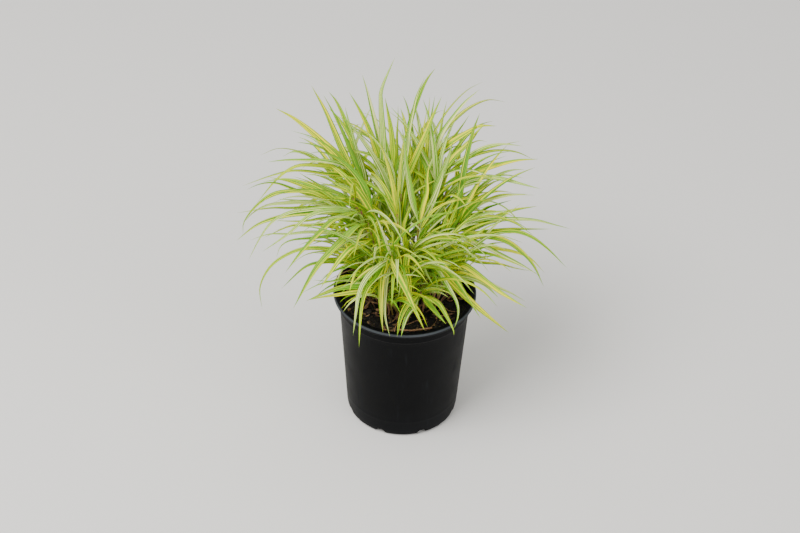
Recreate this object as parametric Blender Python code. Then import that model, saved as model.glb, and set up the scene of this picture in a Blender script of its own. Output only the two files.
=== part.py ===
"""Variegated forest grass in a black nursery pot, at its real size.

The pot is a turned shell with drain holes round its foot, and the potting mix fills it to just below the lip.
Each leafy stem is one solid that stands in its own plain hole in the mix: a thin culm with its blades sunk into
it. The stems that the photograph shows best follow picked pixels of its 800 x 533 frame, and a seeded rule
grows the others behind and between them. Metres, +Z up, the origin under the pot's axis; the viewer is at -Y.
"""

import math
from collections import namedtuple

import bpy
import numpy as np
from mathutils.bvhtree import BVHTree

MM = 0.001

# Pot
POT_HEIGHT = 0.170
FOOT_RADIUS = 0.0650
WALL_TOP_RADIUS = 0.0752
COLLAR_RADIUS = 0.0768
COLLAR_HEIGHT = 0.018
LIP_RADIUS = 0.0825
LIP_HEIGHT = 0.006
WALL = 0.0013
FLOOR = 0.0025
CORNER = 0.005
POT_SIDES = 36
DRAIN_HOLES = 8
DRAIN_RADIUS = 0.0065

# Potting mix
MIX_TOP = 0.157
MIX_BUMP = 0.0016
CLEARANCE = 0.0003
MIX_SIDES = 24
MIX_RINGS = 4
HOLE_RADIUS = 0.0019
HOLE_SIDES = 5
HOLE_DEPTH = 0.008

# Culms and blades
CULM_RADIUS = 0.0011
CULM_TIP_RADIUS = 0.0008
CULM_SIDES = 5
CULM_STAND = 0.005
BLADE_THICKNESS = 0.0008
ROOT_SHARE = 0.15
BLADE_GAP = 0.0004
BLADE_STATIONS = (0.0, 0.13, 0.33, 0.56, 0.79, 1.0)
CULM_STATIONS = (0.0, 0.38, 0.70, 1.0)

# Crown of the plant
CROWN_RADIUS = 0.036
CROWN_SPOTS = 64
LEAST_SPACING = 0.0060
SEED = 4
DEPTH_SHIFTS = (0, 6, -6, 12, -12, 19, -19, 27, -27, 36, -36, 46, -46)
DRAWS = 60

# The photograph's view: a pixel and a distance behind the pot's axis give one point
VIEW_TARGET = np.array([-0.0063, 0.0, 0.2033])
VIEW_DISTANCE = 2.2
VIEW_ELEVATION = math.radians(38.3)
VIEW_ROLL = math.radians(1.54)
FOCAL_PX = 1930.0
CENTRE_PX = (400.0, 266.5)
FACING = np.array([0.0, -0.47, 0.80])

TONES = {
    "lime": (0.42, 0.56, 0.08),
    "yellow": (0.72, 0.70, 0.12),
    "cream": (0.78, 0.80, 0.46),
    "green": (0.20, 0.38, 0.06),
}
CULM_COLOUR = (0.42, 0.40, 0.14)
POT_COLOUR = (0.012, 0.013, 0.014)
MIX_COLOUR = (0.030, 0.020, 0.014)

# A stem: name, foot from the pot's axis in mm, pixel and distance behind the axis (mm) of its top, blades.
# A blade: place along the culm, pixels from there to its tip, the tip's distance (mm), width (mm), tone.
Stem = namedtuple("Stem", "name foot top depth blades")
Blade = namedtuple("Blade", "at pixels depth width tone")
PICKED = (
    Stem("stem_back_centre", (-8, 12), (394, 168), 55, (
        Blade(1.0, ((393, 152), (391, 130), (388, 113), (385, 97)), 64, 8.0, "yellow"),
        Blade(0.86, ((397, 160), (397, 135), (398, 118), (398, 105)), 80, 4.5, "green"),
        Blade(0.74, ((389, 184), (384, 165), (383, 138), (381, 105), (382, 88), (395, 57)), 96, 9.5, "cream"),
        Blade(0.66, ((391, 193), (382, 171), (371, 152), (358, 134), (348, 122), (337, 116)), 50, 8.5, "cream"),
    )),
    Stem("stem_back_left", (-16, 22), (388, 178), 78, (
        Blade(1.0, ((383, 155), (377, 130), (371, 106), (367, 90), (362, 74)), 112, 8.0, "cream"),
        Blade(0.9, ((380, 160), (375, 145), (367, 125), (358, 107), (349, 92)), 96, 10.0, "yellow"),
        Blade(0.7, ((376, 172), (366, 160), (352, 150), (340, 146)), 120, 7.0, "lime"),
    )),
    Stem("stem_left_high", (-19, 9), (354, 171), 44, (
        Blade(1.0, ((341, 159), (325, 144), (308, 129), (292, 117), (275, 108)), 66, 10.5, "yellow"),
        Blade(0.95, ((348, 161), (341, 147), (333, 128), (324, 108), (311, 85)), 84, 8.5, "yellow"),
        Blade(0.8, ((364, 184), (355, 162), (345, 137), (334, 114), (323, 94)), 76, 6.5, "green"),
        Blade(0.92, ((344, 166), (325, 161), (305, 160), (285, 160), (267, 162)), 20, 6.5, "cream"),
        Blade(0.88, ((344, 158), (334, 151), (322, 148), (310, 144), (296, 142)), 72, 5.0, "green"),
    )),
    Stem("stem_left_shoulder", (-27, 15), (366, 190), 52, (
        Blade(0.95, ((363, 172), (357, 152), (351, 130), (347, 115), (345, 106)), 88, 7.0, "cream"),
        Blade(1.0, ((350, 176), (334, 168), (310, 165), (294, 167), (277, 179), (256, 204)), 4, 6.5, "yellow"),
        Blade(0.88, ((347, 178), (326, 174), (306, 171), (290, 171), (270, 176), (242, 186)), 24, 5.0, "green"),
        Blade(0.75, ((358, 196), (348, 186), (336, 180), (322, 171), (311, 168)), 66, 5.5, "lime"),
    )),
    Stem("stem_left_upper", (-31, 5), (353, 198), 22, (
        Blade(1.0, ((335, 197), (318, 191), (303, 186), (288, 181), (268, 177)), 20, 6.5, "yellow"),
        Blade(0.92, ((336, 203), (315, 197), (296, 190), (276, 183), (260, 184), (246, 190)), 2, 5.5, "lime"),
        Blade(0.88, ((340, 194), (328, 190), (316, 183), (306, 177), (298, 172)), 46, 5.0, "green"),
        Blade(0.8, ((350, 192), (340, 186), (328, 179), (316, 175), (304, 174)), 56, 4.5, "lime"),
        Blade(0.7, ((346, 212), (330, 206), (310, 202), (292, 200), (278, 199)), -8, 6.5, "cream"),
    )),
    Stem("stem_left_middle", (-33, -7), (357, 207), 4, (
        Blade(1.0, ((335, 202), (312, 192), (293, 191), (273, 194), (256, 206), (244, 222), (243, 235)), -24, 7.0,
              "lime"),
        Blade(0.95, ((330, 205), (305, 202), (285, 203), (268, 205), (254, 212), (244, 222)), -14, 7.0, "cream"),
        Blade(0.9, ((335, 208), (310, 207), (290, 208), (270, 208), (236, 213)), 12, 4.5, "green"),
        Blade(0.85, ((332, 212), (308, 213), (290, 215), (272, 219), (255, 226), (236, 241)), -36, 8.5, "green"),
        Blade(0.7, ((346, 219), (325, 218), (305, 221), (286, 221), (274, 220)), 20, 5.0, "lime"),
    )),
    Stem("stem_left_low", (-29, -16), (361, 211), -12, (
        Blade(0.98, ((345, 208), (325, 208), (305, 210), (288, 213), (272, 222), (260, 238), (248, 261)), -44, 5.5,
              "cream"),
        Blade(0.94, ((345, 211), (326, 211), (311, 215), (300, 223), (288, 234), (262, 252)), -56, 6.5, "cream"),
        Blade(1.0, ((349, 214), (333, 220), (321, 231), (309, 243), (297, 257), (285, 273)), -66, 8.0, "lime"),
        Blade(0.8, ((350, 226), (330, 224), (310, 225), (290, 226), (263, 238)), -22, 5.0, "green"),
        Blade(0.7, ((350, 233), (330, 233), (308, 232), (288, 234), (270, 234), (250, 240)), -34, 5.0, "cream"),
        Blade(0.6, ((354, 238), (335, 236), (312, 238), (292, 240), (281, 246), (276, 258)), -44, 5.0, "green"),
    )),
    Stem("stem_front_left_high", (-22, -23), (368, 223), -30, (
        Blade(1.0, ((356, 227), (343, 239), (331, 251), (319, 264), (308, 281), (293, 309)), -96, 9.0, "lime"),
        Blade(0.88, ((360, 237), (347, 240), (336, 248), (324, 258), (310, 273)), -74, 7.5, "cream"),
        Blade(0.78, ((364, 243), (352, 247), (342, 257), (333, 269), (320, 289)), -92, 8.5, "yellow"),
        Blade(0.72, ((352, 250), (332, 249), (308, 248), (288, 254), (270, 267), (260, 287), (262, 309)), -62, 5.5,
              "lime"),
        Blade(0.6, ((360, 256), (345, 262), (325, 262), (305, 267), (281, 289)), -80, 6.0, "green"),
        Blade(0.5, ((366, 268), (350, 266), (334, 271), (325, 277), (316, 286)), -96, 4.0, "green"),
    )),
    Stem("stem_front_left_low", (-20, -30), (380, 264), -54, (
        Blade(1.0, ((375, 268), (366, 273), (356, 281), (349, 288)), -88, 7.5, "green"),
        Blade(0.7, ((370, 274), (350, 276), (332, 281), (312, 280)), -74, 3.5, "green"),
        Blade(0.5, ((371, 289), (357, 293), (346, 297), (339, 303)), -92, 4.0, "green"),
    )),
    Stem("stem_front_left_foot", (-13, -33), (381, 284), -52, (
        Blade(1.0, ((372, 287), (358, 286), (340, 288), (325, 293), (306, 301)), -76, 9.0, "lime"),
        Blade(0.9, ((372, 291), (356, 292), (336, 295), (322, 297), (309, 300)), -84, 7.0, "lime"),
    )),
    Stem("stem_front_centre", (-5, -23), (402, 257), -36, (
        Blade(1.0, ((390, 260), (378, 267), (366, 279), (359, 294), (356, 313), (353, 336)), -98, 8.0, "cream"),
        Blade(0.9, ((396, 262), (388, 262), (383, 272), (381, 290), (381, 310), (383, 333)), -88, 10.0, "lime"),
        Blade(0.82, ((391, 265), (387, 276), (385, 295), (385, 316), (390, 337)), -98, 6.5, "cream"),
        Blade(0.74, ((388, 259), (377, 276), (367, 288), (362, 304), (360, 325), (359, 348)), -108, 7.5, "lime"),
    )),
    Stem("stem_front_crown", (3, -31), (392, 256), -58, (
        Blade(1.0, ((392, 262), (399, 276), (407, 292), (415, 310), (425, 331)), -104, 9.5, "yellow"),
        Blade(0.9, ((388, 250), (384, 238), (380, 227), (375, 214)), -66, 7.0, "cream"),
    )),
    Stem("stem_front_right_crown", (5, -16), (409, 252), -28, (
        Blade(1.0, ((407, 257), (406, 267), (409, 281), (412, 303)), -84, 9.0, "yellow"),
        Blade(0.85, ((399, 244), (397, 249), (401, 261), (402, 275)), -66, 5.5, "yellow"),
        Blade(0.7, ((405, 240), (404, 228), (407, 216), (409, 204)), -14, 6.0, "yellow"),
    )),
    Stem("stem_front_right_foot", (13, -27), (421, 293), -52, (
        Blade(1.0, ((428, 303), (434, 310), (440, 317), (446, 324)), -88, 8.0, "green"),
        Blade(0.86, ((431, 299), (439, 304), (446, 315), (453, 329), (454, 336)), -96, 7.5, "lime"),
        Blade(0.95, ((411, 301), (405, 308), (400, 320), (397, 337)), -88, 8.5, "lime"),
        Blade(0.8, ((414, 306), (408, 314), (404, 324), (401, 337)), -94, 7.5, "cream"),
        Blade(0.7, ((425, 291), (434, 289), (444, 291), (453, 295)), -66, 5.0, "green"),
    )),
    Stem("stem_front_right_high", (23, -20), (424, 252), -26, (
        Blade(1.0, ((432, 254), (441, 262), (452, 275), (462, 289), (471, 303), (481, 319)), -70, 8.0, "lime"),
        Blade(0.82, ((431, 262), (439, 272), (449, 288), (457, 303), (458, 316), (454, 329)), -84, 6.5, "cream"),
        Blade(0.7, ((419, 260), (424, 268), (428, 276), (434, 286)), -58, 5.5, "cream"),
        Blade(0.64, ((437, 268), (450, 281), (463, 294), (483, 312), (509, 333)), -96, 11.0, "yellow"),
    )),
    Stem("stem_right_low", (30, -12), (446, 266), -14, (
        Blade(1.0, ((462, 265), (474, 272), (488, 283), (503, 294), (527, 308)), -44, 9.0, "yellow"),
        Blade(0.9, ((458, 276), (472, 279), (485, 285), (499, 298)), -30, 7.5, "cream"),
        Blade(0.8, ((462, 271), (480, 278), (500, 288), (513, 294), (526, 302)), -20, 5.5, "cream"),
        Blade(0.94, ((456, 262), (470, 259), (484, 257), (499, 255)), 14, 5.0, "lime"),
    )),
    Stem("stem_right_middle", (33, 0), (450, 238), 8, (
        Blade(1.0, ((464, 239), (480, 244), (500, 254), (520, 264), (540, 276)), -12, 6.5, "cream"),
        Blade(0.95, ((466, 234), (486, 236), (506, 241), (522, 252), (534, 266), (544, 287)), -26, 8.5, "lime"),
        Blade(0.88, ((466, 244), (482, 246), (500, 249), (515, 252), (530, 258), (545, 273)), 12, 6.0, "yellow"),
        Blade(0.75, ((462, 250), (478, 252), (494, 255), (512, 262), (525, 268)), -30, 5.5, "lime"),
        Blade(0.65, ((460, 256), (478, 262), (500, 264), (515, 268), (531, 271)), -4, 4.5, "green"),
    )),
    Stem("stem_right_shoulder", (30, 13), (450, 231), 26, (
        Blade(1.0, ((470, 230), (490, 222), (510, 219), (535, 220), (552, 224), (571, 229)), 18, 6.5, "cream"),
        Blade(0.93, ((470, 234), (490, 231), (510, 229), (530, 229), (551, 229)), 30, 5.5, "green"),
        Blade(0.86, ((468, 239), (490, 234), (512, 231), (530, 236), (547, 248), (567, 268)), -10, 7.0, "yellow"),
        Blade(0.97, ((462, 229), (480, 224), (498, 216), (514, 210), (538, 206)), 44, 8.0, "lime"),
    )),
    Stem("stem_right_upper", (24, 20), (448, 216), 42, (
        Blade(1.0, ((460, 213), (474, 207), (488, 200), (503, 195), (528, 194)), 56, 6.5, "lime"),
        Blade(0.9, ((461, 224), (473, 219), (485, 209), (498, 204), (512, 200)), 66, 5.5, "green"),
        Blade(0.94, ((460, 219), (476, 215), (492, 212), (510, 210)), 28, 4.5, "cream"),
        Blade(0.8, ((449, 212), (456, 206), (461, 197), (463, 188)), 52, 4.5, "lime"),
    )),
    Stem("stem_right_high", (18, 25), (446, 192), 58, (
        Blade(1.0, ((458, 185), (474, 179), (490, 177), (507, 180), (522, 184), (541, 189)), 44, 8.5, "cream"),
        Blade(0.92, ((452, 193), (464, 187), (476, 183), (490, 180)), 34, 5.5, "cream"),
        Blade(0.96, ((460, 181), (474, 173), (488, 168), (505, 163), (520, 160), (539, 159)), 66, 8.5, "yellow"),
        Blade(0.84, ((456, 190), (472, 182), (490, 177), (506, 175), (524, 178)), 60, 5.0, "green"),
        Blade(0.7, ((448, 200), (466, 197), (482, 193), (499, 191)), 48, 4.5, "lime"),
    )),
    Stem("stem_back_right", (10, 16), (443, 170), 66, (
        Blade(1.0, ((456, 163), (470, 155), (485, 147), (502, 144), (523, 146)), 70, 6.0, "cream"),
        Blade(0.96, ((453, 158), (462, 149), (471, 140), (478, 131), (485, 124)), 96, 8.5, "lime"),
        Blade(0.9, ((452, 170), (466, 160), (480, 151), (496, 146), (521, 141)), 88, 4.5, "green"),
        Blade(0.82, ((452, 180), (468, 170), (482, 160), (496, 154), (512, 151)), 60, 4.5, "green"),
        Blade(0.66, ((437, 186), (443, 172), (449, 156), (453, 141)), 50, 10.5, "cream"),
    )),
    Stem("stem_back_high", (2, 25), (434, 158), 82, (
        Blade(1.0, ((440, 151), (452, 142), (466, 133), (480, 126), (497, 126)), 92, 8.5, "yellow"),
        Blade(0.95, ((438, 143), (444, 130), (453, 117), (465, 102), (480, 89)), 116, 7.0, "cream"),
        Blade(0.88, ((437, 148), (440, 134), (443, 117), (447, 100)), 122, 5.0, "green"),
        Blade(0.8, ((444, 146), (452, 139), (462, 126), (470, 114)), 130, 5.0, "lime"),
        Blade(0.9, ((431, 150), (431, 140), (434, 130)), 90, 8.0, "cream"),
    )),
    Stem("stem_back_middle", (-1, 14), (401, 194), 46, (
        Blade(1.0, ((407, 176), (415, 158), (424, 138), (432, 118), (442, 96)), 96, 9.5, "yellow"),
        Blade(0.94, ((403, 172), (407, 150), (409, 132), (413, 112), (417, 95), (425, 77)), 100, 7.5, "cream"),
    )),
    Stem("stem_centre", (9, 4), (419, 224), 8, (
        Blade(1.0, ((413, 203), (409, 182), (406, 163), (405, 146), (402, 127)), 22, 8.5, "cream"),
        Blade(0.9, ((428, 211), (435, 196), (441, 180), (445, 166)), 40, 10.0, "cream"),
        Blade(0.95, ((423, 206), (427, 192), (427, 177), (430, 160)), 30, 7.0, "yellow"),
        Blade(0.84, ((431, 213), (444, 204), (458, 200), (476, 198)), 12, 4.5, "lime"),
        Blade(0.72, ((430, 236), (438, 232), (448, 229), (458, 228)), -4, 4.5, "cream"),
    )),
    Stem("stem_centre_right", (20, -4), (441, 246), -2, (
        Blade(1.0, ((446, 234), (452, 218), (457, 206), (461, 192)), 14, 5.5, "lime"),
        Blade(0.9, ((450, 232), (456, 222), (462, 212), (466, 203)), 26, 5.5, "green"),
        Blade(0.96, ((447, 226), (446, 213), (443, 204)), 10, 6.0, "lime"),
    )),
)


def clear_scene():
    for thing in list(bpy.data.objects):
        bpy.data.objects.remove(thing)


def finish_of(name, colour, roughness):
    """A material of the part's own colour and roughness."""
    made = bpy.data.materials.new(name)
    made.use_nodes = True
    shader = made.node_tree.nodes["Principled BSDF"]
    shader.inputs["Base Color"].default_value = (*colour, 1.0)
    shader.inputs["Roughness"].default_value = roughness
    shader.inputs["Metallic"].default_value = 0.0
    return made


def placed(name, points, faces, *finishes):
    """An object from points and faces."""
    mesh = bpy.data.meshes.new(name)
    mesh.from_pydata([tuple(point) for point in points], [], [tuple(face) for face in faces])
    for finish in finishes:
        mesh.materials.append(finish)
    made = bpy.data.objects.new(name, mesh)
    bpy.context.scene.collection.objects.link(made)
    return made


def unit(vectors):
    return vectors / np.linalg.norm(vectors, axis=-1, keepdims=True)


def facing_out(points, faces):
    """The faces, all turned round if they enclose a negative volume."""
    corners = np.array([points[face[0]] for face in faces])
    seconds = np.array([points[face[1]] for face in faces])
    thirds = np.array([points[face[2]] for face in faces])
    if np.einsum("ij,ij->", corners, np.cross(seconds, thirds)) < 0:
        return [face[::-1] for face in faces]
    return faces


def turned(profile, sides):
    """A closed solid turned from (radius, height) pairs that start and end on the axis."""
    angles = np.arange(sides) * 2 * math.pi / sides
    rings = [
        np.stack([r * np.cos(angles), r * np.sin(angles), np.full(sides, z)], axis=1) for r, z in profile[1:-1]
    ]
    points = np.vstack([[0, 0, profile[0][1]], *rings, [0, 0, profile[-1][1]]])
    last = len(points) - 1
    faces = []
    for i in range(sides):
        j = (i + 1) % sides
        faces.append((0, 1 + j, 1 + i))
        for k in range(len(rings) - 1):
            low = 1 + k * sides
            high = low + sides
            faces.append((low + i, low + j, high + j, high + i))
        top = 1 + (len(rings) - 1) * sides
        faces.append((top + i, top + j, last))
    return points, facing_out(points, faces)


def arc(centre, radius, start, end, steps):
    """Points of an arc in the (radius, height) plane, angles in degrees."""
    turns = np.radians(np.linspace(start, end, steps + 1))
    return [(centre[0] + radius * math.cos(a), centre[1] + radius * math.sin(a)) for a in turns]


def wall_radius(height):
    """Outer radius of the tapered wall at a height."""
    return FOOT_RADIUS + (WALL_TOP_RADIUS - FOOT_RADIUS) * height / (POT_HEIGHT - COLLAR_HEIGHT)


def cut_from(made, cutters, label):
    """Cuts the hidden cutters of one collection out of an object, and keeps the modifier."""
    group = bpy.data.collections.new(label)
    bpy.context.scene.collection.children.link(group)
    for cutter in cutters:
        for holder in list(cutter.users_collection):
            holder.objects.unlink(cutter)
        group.objects.link(cutter)
        cutter.hide_render = True
        cutter.display_type = "WIRE"
    cut = made.modifiers.new(label, "BOOLEAN")
    cut.operation = "DIFFERENCE"
    cut.operand_type = "COLLECTION"
    cut.collection = group


def make_pot():
    """The shell: flat foot with a round corner, tapered wall, collar band and rolled lip."""
    collar = POT_HEIGHT - COLLAR_HEIGHT
    lip = POT_HEIGHT - LIP_HEIGHT
    roll = LIP_HEIGHT / 3
    inner_top = WALL_TOP_RADIUS
    outer = [(0, 0)] + arc((FOOT_RADIUS - CORNER, CORNER), CORNER, -90, 0, 3)
    outer += [(wall_radius(collar), collar), (COLLAR_RADIUS, collar + 0.0012), (COLLAR_RADIUS, lip - 0.001)]
    outer += [(LIP_RADIUS, lip), (LIP_RADIUS, POT_HEIGHT - roll), (LIP_RADIUS - roll, POT_HEIGHT)]
    inner = [(inner_top + roll, POT_HEIGHT), (inner_top, POT_HEIGHT - roll), (inner_top, collar + 0.001)]
    inner += [(wall_radius(collar) - WALL, collar - 0.001), (wall_radius(0.007) - WALL, 0.007)]
    inner += [(FOOT_RADIUS - WALL - 0.004, FLOOR), (0, FLOOR)]
    points, faces = turned(outer + inner, POT_SIDES)
    pot = placed("pot", points, faces, finish_of("black_nursery_plastic", POT_COLOUR, 0.42))
    pot.data.shade_smooth()
    pot.data.set_sharp_from_angle(angle=math.radians(35))
    cut_from(pot, drain_cutters(), "drain_holes")
    return pot


def drain_cutters():
    """Round plugs that point out and down through the foot's corner."""
    cutters = []
    for i in range(DRAIN_HOLES):
        bpy.ops.mesh.primitive_cylinder_add(vertices=10, radius=DRAIN_RADIUS, depth=0.03)
        cutter = bpy.context.object
        angle = (i + 0.5) * 2 * math.pi / DRAIN_HOLES
        reach = FOOT_RADIUS - 0.002
        cutter.name = f"drain_cutter_{i}"
        cutter.location = (reach * math.cos(angle), reach * math.sin(angle), 0.001)
        cutter.rotation_euler = (0, math.radians(125), angle)
        cutters.append(cutter)
    return cutters


def mix_height(x, y):
    """The top of the mix: low bumps from three crossing waves, gone at the wall."""
    wave = np.sin(210 * x + 1.1) * np.cos(185 * y) + 0.7 * np.sin(330 * y - 150 * x) + 0.5 * np.cos(420 * x + 260 * y)
    fade = np.clip((wall_radius(MIX_TOP) - np.hypot(x, y)) / 0.02, 0, 1)
    return MIX_TOP + MIX_BUMP * wave * fade


def make_mix(feet):
    """The potting mix: a plug just clear of the shell, with a plain hole for each stem."""
    top_radius = wall_radius(MIX_TOP) - WALL - CLEARANCE - 0.0006
    foot_radius = wall_radius(0.009) - WALL - CLEARANCE - 0.0012
    rings = [top_radius * k / MIX_RINGS for k in range(MIX_RINGS - 1, 0, -1)]
    profile = [(0, FLOOR + CLEARANCE), (foot_radius - 0.006, FLOOR + CLEARANCE), (foot_radius, 0.009)]
    profile += [(top_radius, MIX_TOP)] + [(r, MIX_TOP) for r in rings] + [(0, MIX_TOP)]
    points, faces = turned(profile, MIX_SIDES)
    on_top = points[:, 2] > MIX_TOP - 1e-6
    points[on_top, 2] = mix_height(points[on_top, 0], points[on_top, 1])
    mix = placed("potting_mix", points, faces, finish_of("dark_potting_mix", MIX_COLOUR, 0.95))
    cutters = []
    for i, foot in enumerate(feet):
        bpy.ops.mesh.primitive_cylinder_add(vertices=HOLE_SIDES, radius=HOLE_RADIUS, depth=2 * HOLE_DEPTH)
        cutter = bpy.context.object
        cutter.name = f"hole_cutter_{i}"
        cutter.location = (foot[0], foot[1], MIX_TOP)
        cutters.append(cutter)
    cut_from(mix, cutters, "stem_holes")
    return points, faces


def photo_point(pixel, depth):
    """The point seen at a pixel of the photograph, depth metres behind the pot's axis."""
    forward = np.array([0.0, math.cos(VIEW_ELEVATION), -math.sin(VIEW_ELEVATION)])
    up = np.array([0.0, math.sin(VIEW_ELEVATION), math.cos(VIEW_ELEVATION)])
    eye = VIEW_TARGET - VIEW_DISTANCE * forward
    dx = pixel[0] - CENTRE_PX[0]
    dy = pixel[1] - CENTRE_PX[1]
    right_px = dx * math.cos(VIEW_ROLL) + dy * math.sin(VIEW_ROLL)
    down_px = dy * math.cos(VIEW_ROLL) - dx * math.sin(VIEW_ROLL)
    ray = FOCAL_PX * forward + right_px * np.array([1.0, 0.0, 0.0]) - down_px * up
    return eye + ray * (depth - eye[1]) / ray[1]


def curve_through(points, fractions):
    """Points at these fractions of the length of a smooth curve through the given ones."""
    p = np.asarray(points, float)
    p = np.vstack([2 * p[0] - p[1], p, 2 * p[-1] - p[-2]])
    u = np.linspace(0, 1, 9)[:, None]
    spans = []
    for a, b, c, d in zip(p, p[1:], p[2:], p[3:]):
        spans.append(b + 0.5 * u * (c - a + u * (2 * a - 5 * b + 4 * c - d + u * (3 * b - a - 3 * c + d))))
    dense = np.vstack(spans)
    along = np.concatenate([[0], np.cumsum(np.linalg.norm(np.diff(dense, axis=0), axis=1))])
    return np.stack([np.interp(np.asarray(fractions) * along[-1], along, dense[:, k]) for k in range(3)], axis=1)


def across_of(tangents, facing, twist):
    """Width directions along a blade that keep one side towards the facing direction, and turn by the twist."""
    found = []
    for tangent in tangents:
        side = np.cross(tangent, facing)
        if found:
            kept = found[-1] - tangent * np.dot(found[-1], tangent)
            side = side if np.dot(side, kept) > 0 else -side
            side = kept if np.linalg.norm(side) < 0.3 else side
        found.append(side / np.linalg.norm(side))
    found = np.array(found)
    turn = np.linspace(0, twist, len(found))[:, None]
    return unit(found * np.cos(turn) + np.cross(tangents, found) * np.sin(turn))


def blade_width(along):
    """Share of the full width: a narrow root, the widest third, and a long point."""
    root = np.clip(along / 0.26, 0, 1)
    return (ROOT_SHARE + (1 - ROOT_SHARE) * root * root * (3 - 2 * root)) * (1 - along**1.9)


def blade_solid(path, width, facing, twist, grow=0.0):
    """A three-sided blade: two edges and a keel under the middle, closed at the root and pointed at the tip."""
    stations = np.array(BLADE_STATIONS)
    centres = curve_through(path, stations)
    tangents = unit(np.gradient(centres, axis=0))
    across = across_of(tangents, facing, twist)
    up = unit(np.cross(across, tangents))
    half = 0.5 * width * blade_width(stations)[:, None] + grow
    keel = BLADE_THICKNESS + grow
    rings = np.stack([centres - across * half + up * grow, centres + across * half + up * grow,
                      centres - up * keel], axis=1)[:-1]
    points = np.vstack([rings.reshape(-1, 3), centres[-1]])
    tip = len(points) - 1
    faces = [(0, 2, 1)]
    for i in range(len(rings) - 1):
        left, right, under = 3 * i, 3 * i + 1, 3 * i + 2
        left_on, right_on, under_on = left + 3, right + 3, under + 3
        rises = np.dot(up[i], points[right_on] - points[left_on]) > 0
        if rises:
            faces += [(left, right, right_on), (left, right_on, left_on)]
        else:
            faces += [(left, right, left_on), (right, right_on, left_on)]
        faces += [(right, under, under_on), (right, under_on, right_on)]
        faces += [(under, left, left_on), (under, left_on, under_on)]
    faces += [(left_on, right_on, tip), (right_on, under_on, tip), (under_on, left_on, tip)]
    return points, facing_out(points, faces)


def culm_centres(foot, top):
    """Centres along a culm: upright in its hole, then bowed out to its top."""
    ground = np.array([foot[0], foot[1], MIX_TOP])
    low = ground - [0, 0, HOLE_DEPTH - 0.0007]
    stand = ground + [0, 0, CULM_STAND]
    knee = stand + (top - stand) * [0.32, 0.32, 0.55]
    t = np.array(CULM_STATIONS)[:, None]
    bow = (1 - t) ** 2 * stand + 2 * t * (1 - t) * knee + t * t * top
    return np.vstack([low, bow])


def culm_point(centres, at):
    """The point at a share of the culm's way from the mix to its top."""
    spot = at * (len(centres) - 2)
    steps = np.arange(len(centres) - 1)
    return np.array([np.interp(spot, steps, centres[1:, k]) for k in range(3)])


def culm_solid(centres, grow=0.0):
    """A thin closed tube along the culm, a little narrower at its top."""
    tangents = unit(np.gradient(centres, axis=0))
    tangents[:2] = (0, 0, 1)
    across = unit(np.cross(tangents, [0.25, 1.0, 0.0]))
    beside = np.cross(tangents, across)
    radii = np.linspace(CULM_RADIUS, CULM_TIP_RADIUS, len(centres)) + grow
    angles = np.arange(CULM_SIDES) * 2 * math.pi / CULM_SIDES
    rings = centres[:, None] + radii[:, None, None] * (
        across[:, None] * np.cos(angles)[None, :, None] + beside[:, None] * np.sin(angles)[None, :, None])
    points = rings.reshape(-1, 3)
    faces = [tuple(range(CULM_SIDES)), tuple(range(len(points) - 1, len(points) - 1 - CULM_SIDES, -1))]
    for k in range(len(centres) - 1):
        for i in range(CULM_SIDES):
            j = (i + 1) % CULM_SIDES
            low = k * CULM_SIDES
            high = low + CULM_SIDES
            faces.append((low + j, low + i, high + i))
            faces.append((low + j, high + i, high + j))
    return points, facing_out(points, faces)


def tree_of(solid):
    return BVHTree.FromPolygons([tuple(point) for point in solid[0]], solid[1])


def clear_of(solid, trees):
    """Whether a solid's surface meets none of the trees'."""
    own = tree_of(solid)
    return not any(own.overlap(tree) for tree in trees)


def picked_culm(stem, others):
    """The culm of a picked stem, its top nearer or further until it is clear of the others."""
    foot = np.array(stem.foot) * MM
    for shift in DEPTH_SHIFTS:
        top = photo_point(stem.top, (stem.depth + shift) * MM)
        centres = culm_centres(foot, top)
        if clear_of(culm_solid(centres, BLADE_GAP), others):
            return centres
    return None


def picked_paths(blade, centres):
    """Candidate paths of a picked blade: the same pixels, with the tip nearer or further."""
    base = culm_point(centres, blade.at)
    spans = np.linalg.norm(np.diff(np.array(blade.pixels, float), axis=0), axis=1)
    first = spans.mean()
    share = np.concatenate([[first], first + np.cumsum(spans)])
    share /= share[-1]
    for shift in DEPTH_SHIFTS:
        reach = (blade.depth + shift) * MM - base[1]
        yield [base] + [photo_point(pixel, base[1] + reach * s) for pixel, s in zip(blade.pixels, share)]


def grown_culm(rng, foot, others):
    """A culm by the rule: it leans out more the further its foot is from the middle, and is short in front."""
    for _ in range(DRAWS):
        radius = np.hypot(*foot) / CROWN_RADIUS
        heading = math.atan2(foot[1], foot[0]) + rng.normal(0, 0.35)
        lean = math.radians(5 + 38 * radius + rng.normal(0, 4))
        behind = foot[1] > 0
        length = rng.uniform(0.085, 0.150) if behind else rng.uniform(0.050, 0.085)
        out = np.array([math.cos(heading), math.sin(heading)]) * math.sin(lean)
        top = np.array([foot[0], foot[1], MIX_TOP + CULM_STAND]) + length * np.array([*out, math.cos(lean)])
        centres = culm_centres(foot, top)
        if clear_of(culm_solid(centres, BLADE_GAP), others):
            return centres, heading, behind
    return None


def grown_paths(rng, centres, heading, behind, at, side):
    """Candidate paths of a blade by the rule: it leaves the culm steeply, on alternate sides, and arches over."""
    base = culm_point(centres, at)
    for _ in range(DRAWS):
        away = heading + side * rng.uniform(0.15, 1.25)
        length = rng.uniform(0.105, 0.165) if behind else rng.uniform(0.050, 0.085)
        rise = math.radians(rng.uniform(48, 78))
        bend = math.radians(rng.uniform(55, 105))
        slopes = rise - bend * np.linspace(0, 1, 5) ** 1.2
        steps = np.stack([np.cos(slopes) * math.cos(away), np.cos(slopes) * math.sin(away), np.sin(slopes)], axis=1)
        yield np.vstack([base, base + np.cumsum(steps * length / 5, axis=0)])


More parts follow.
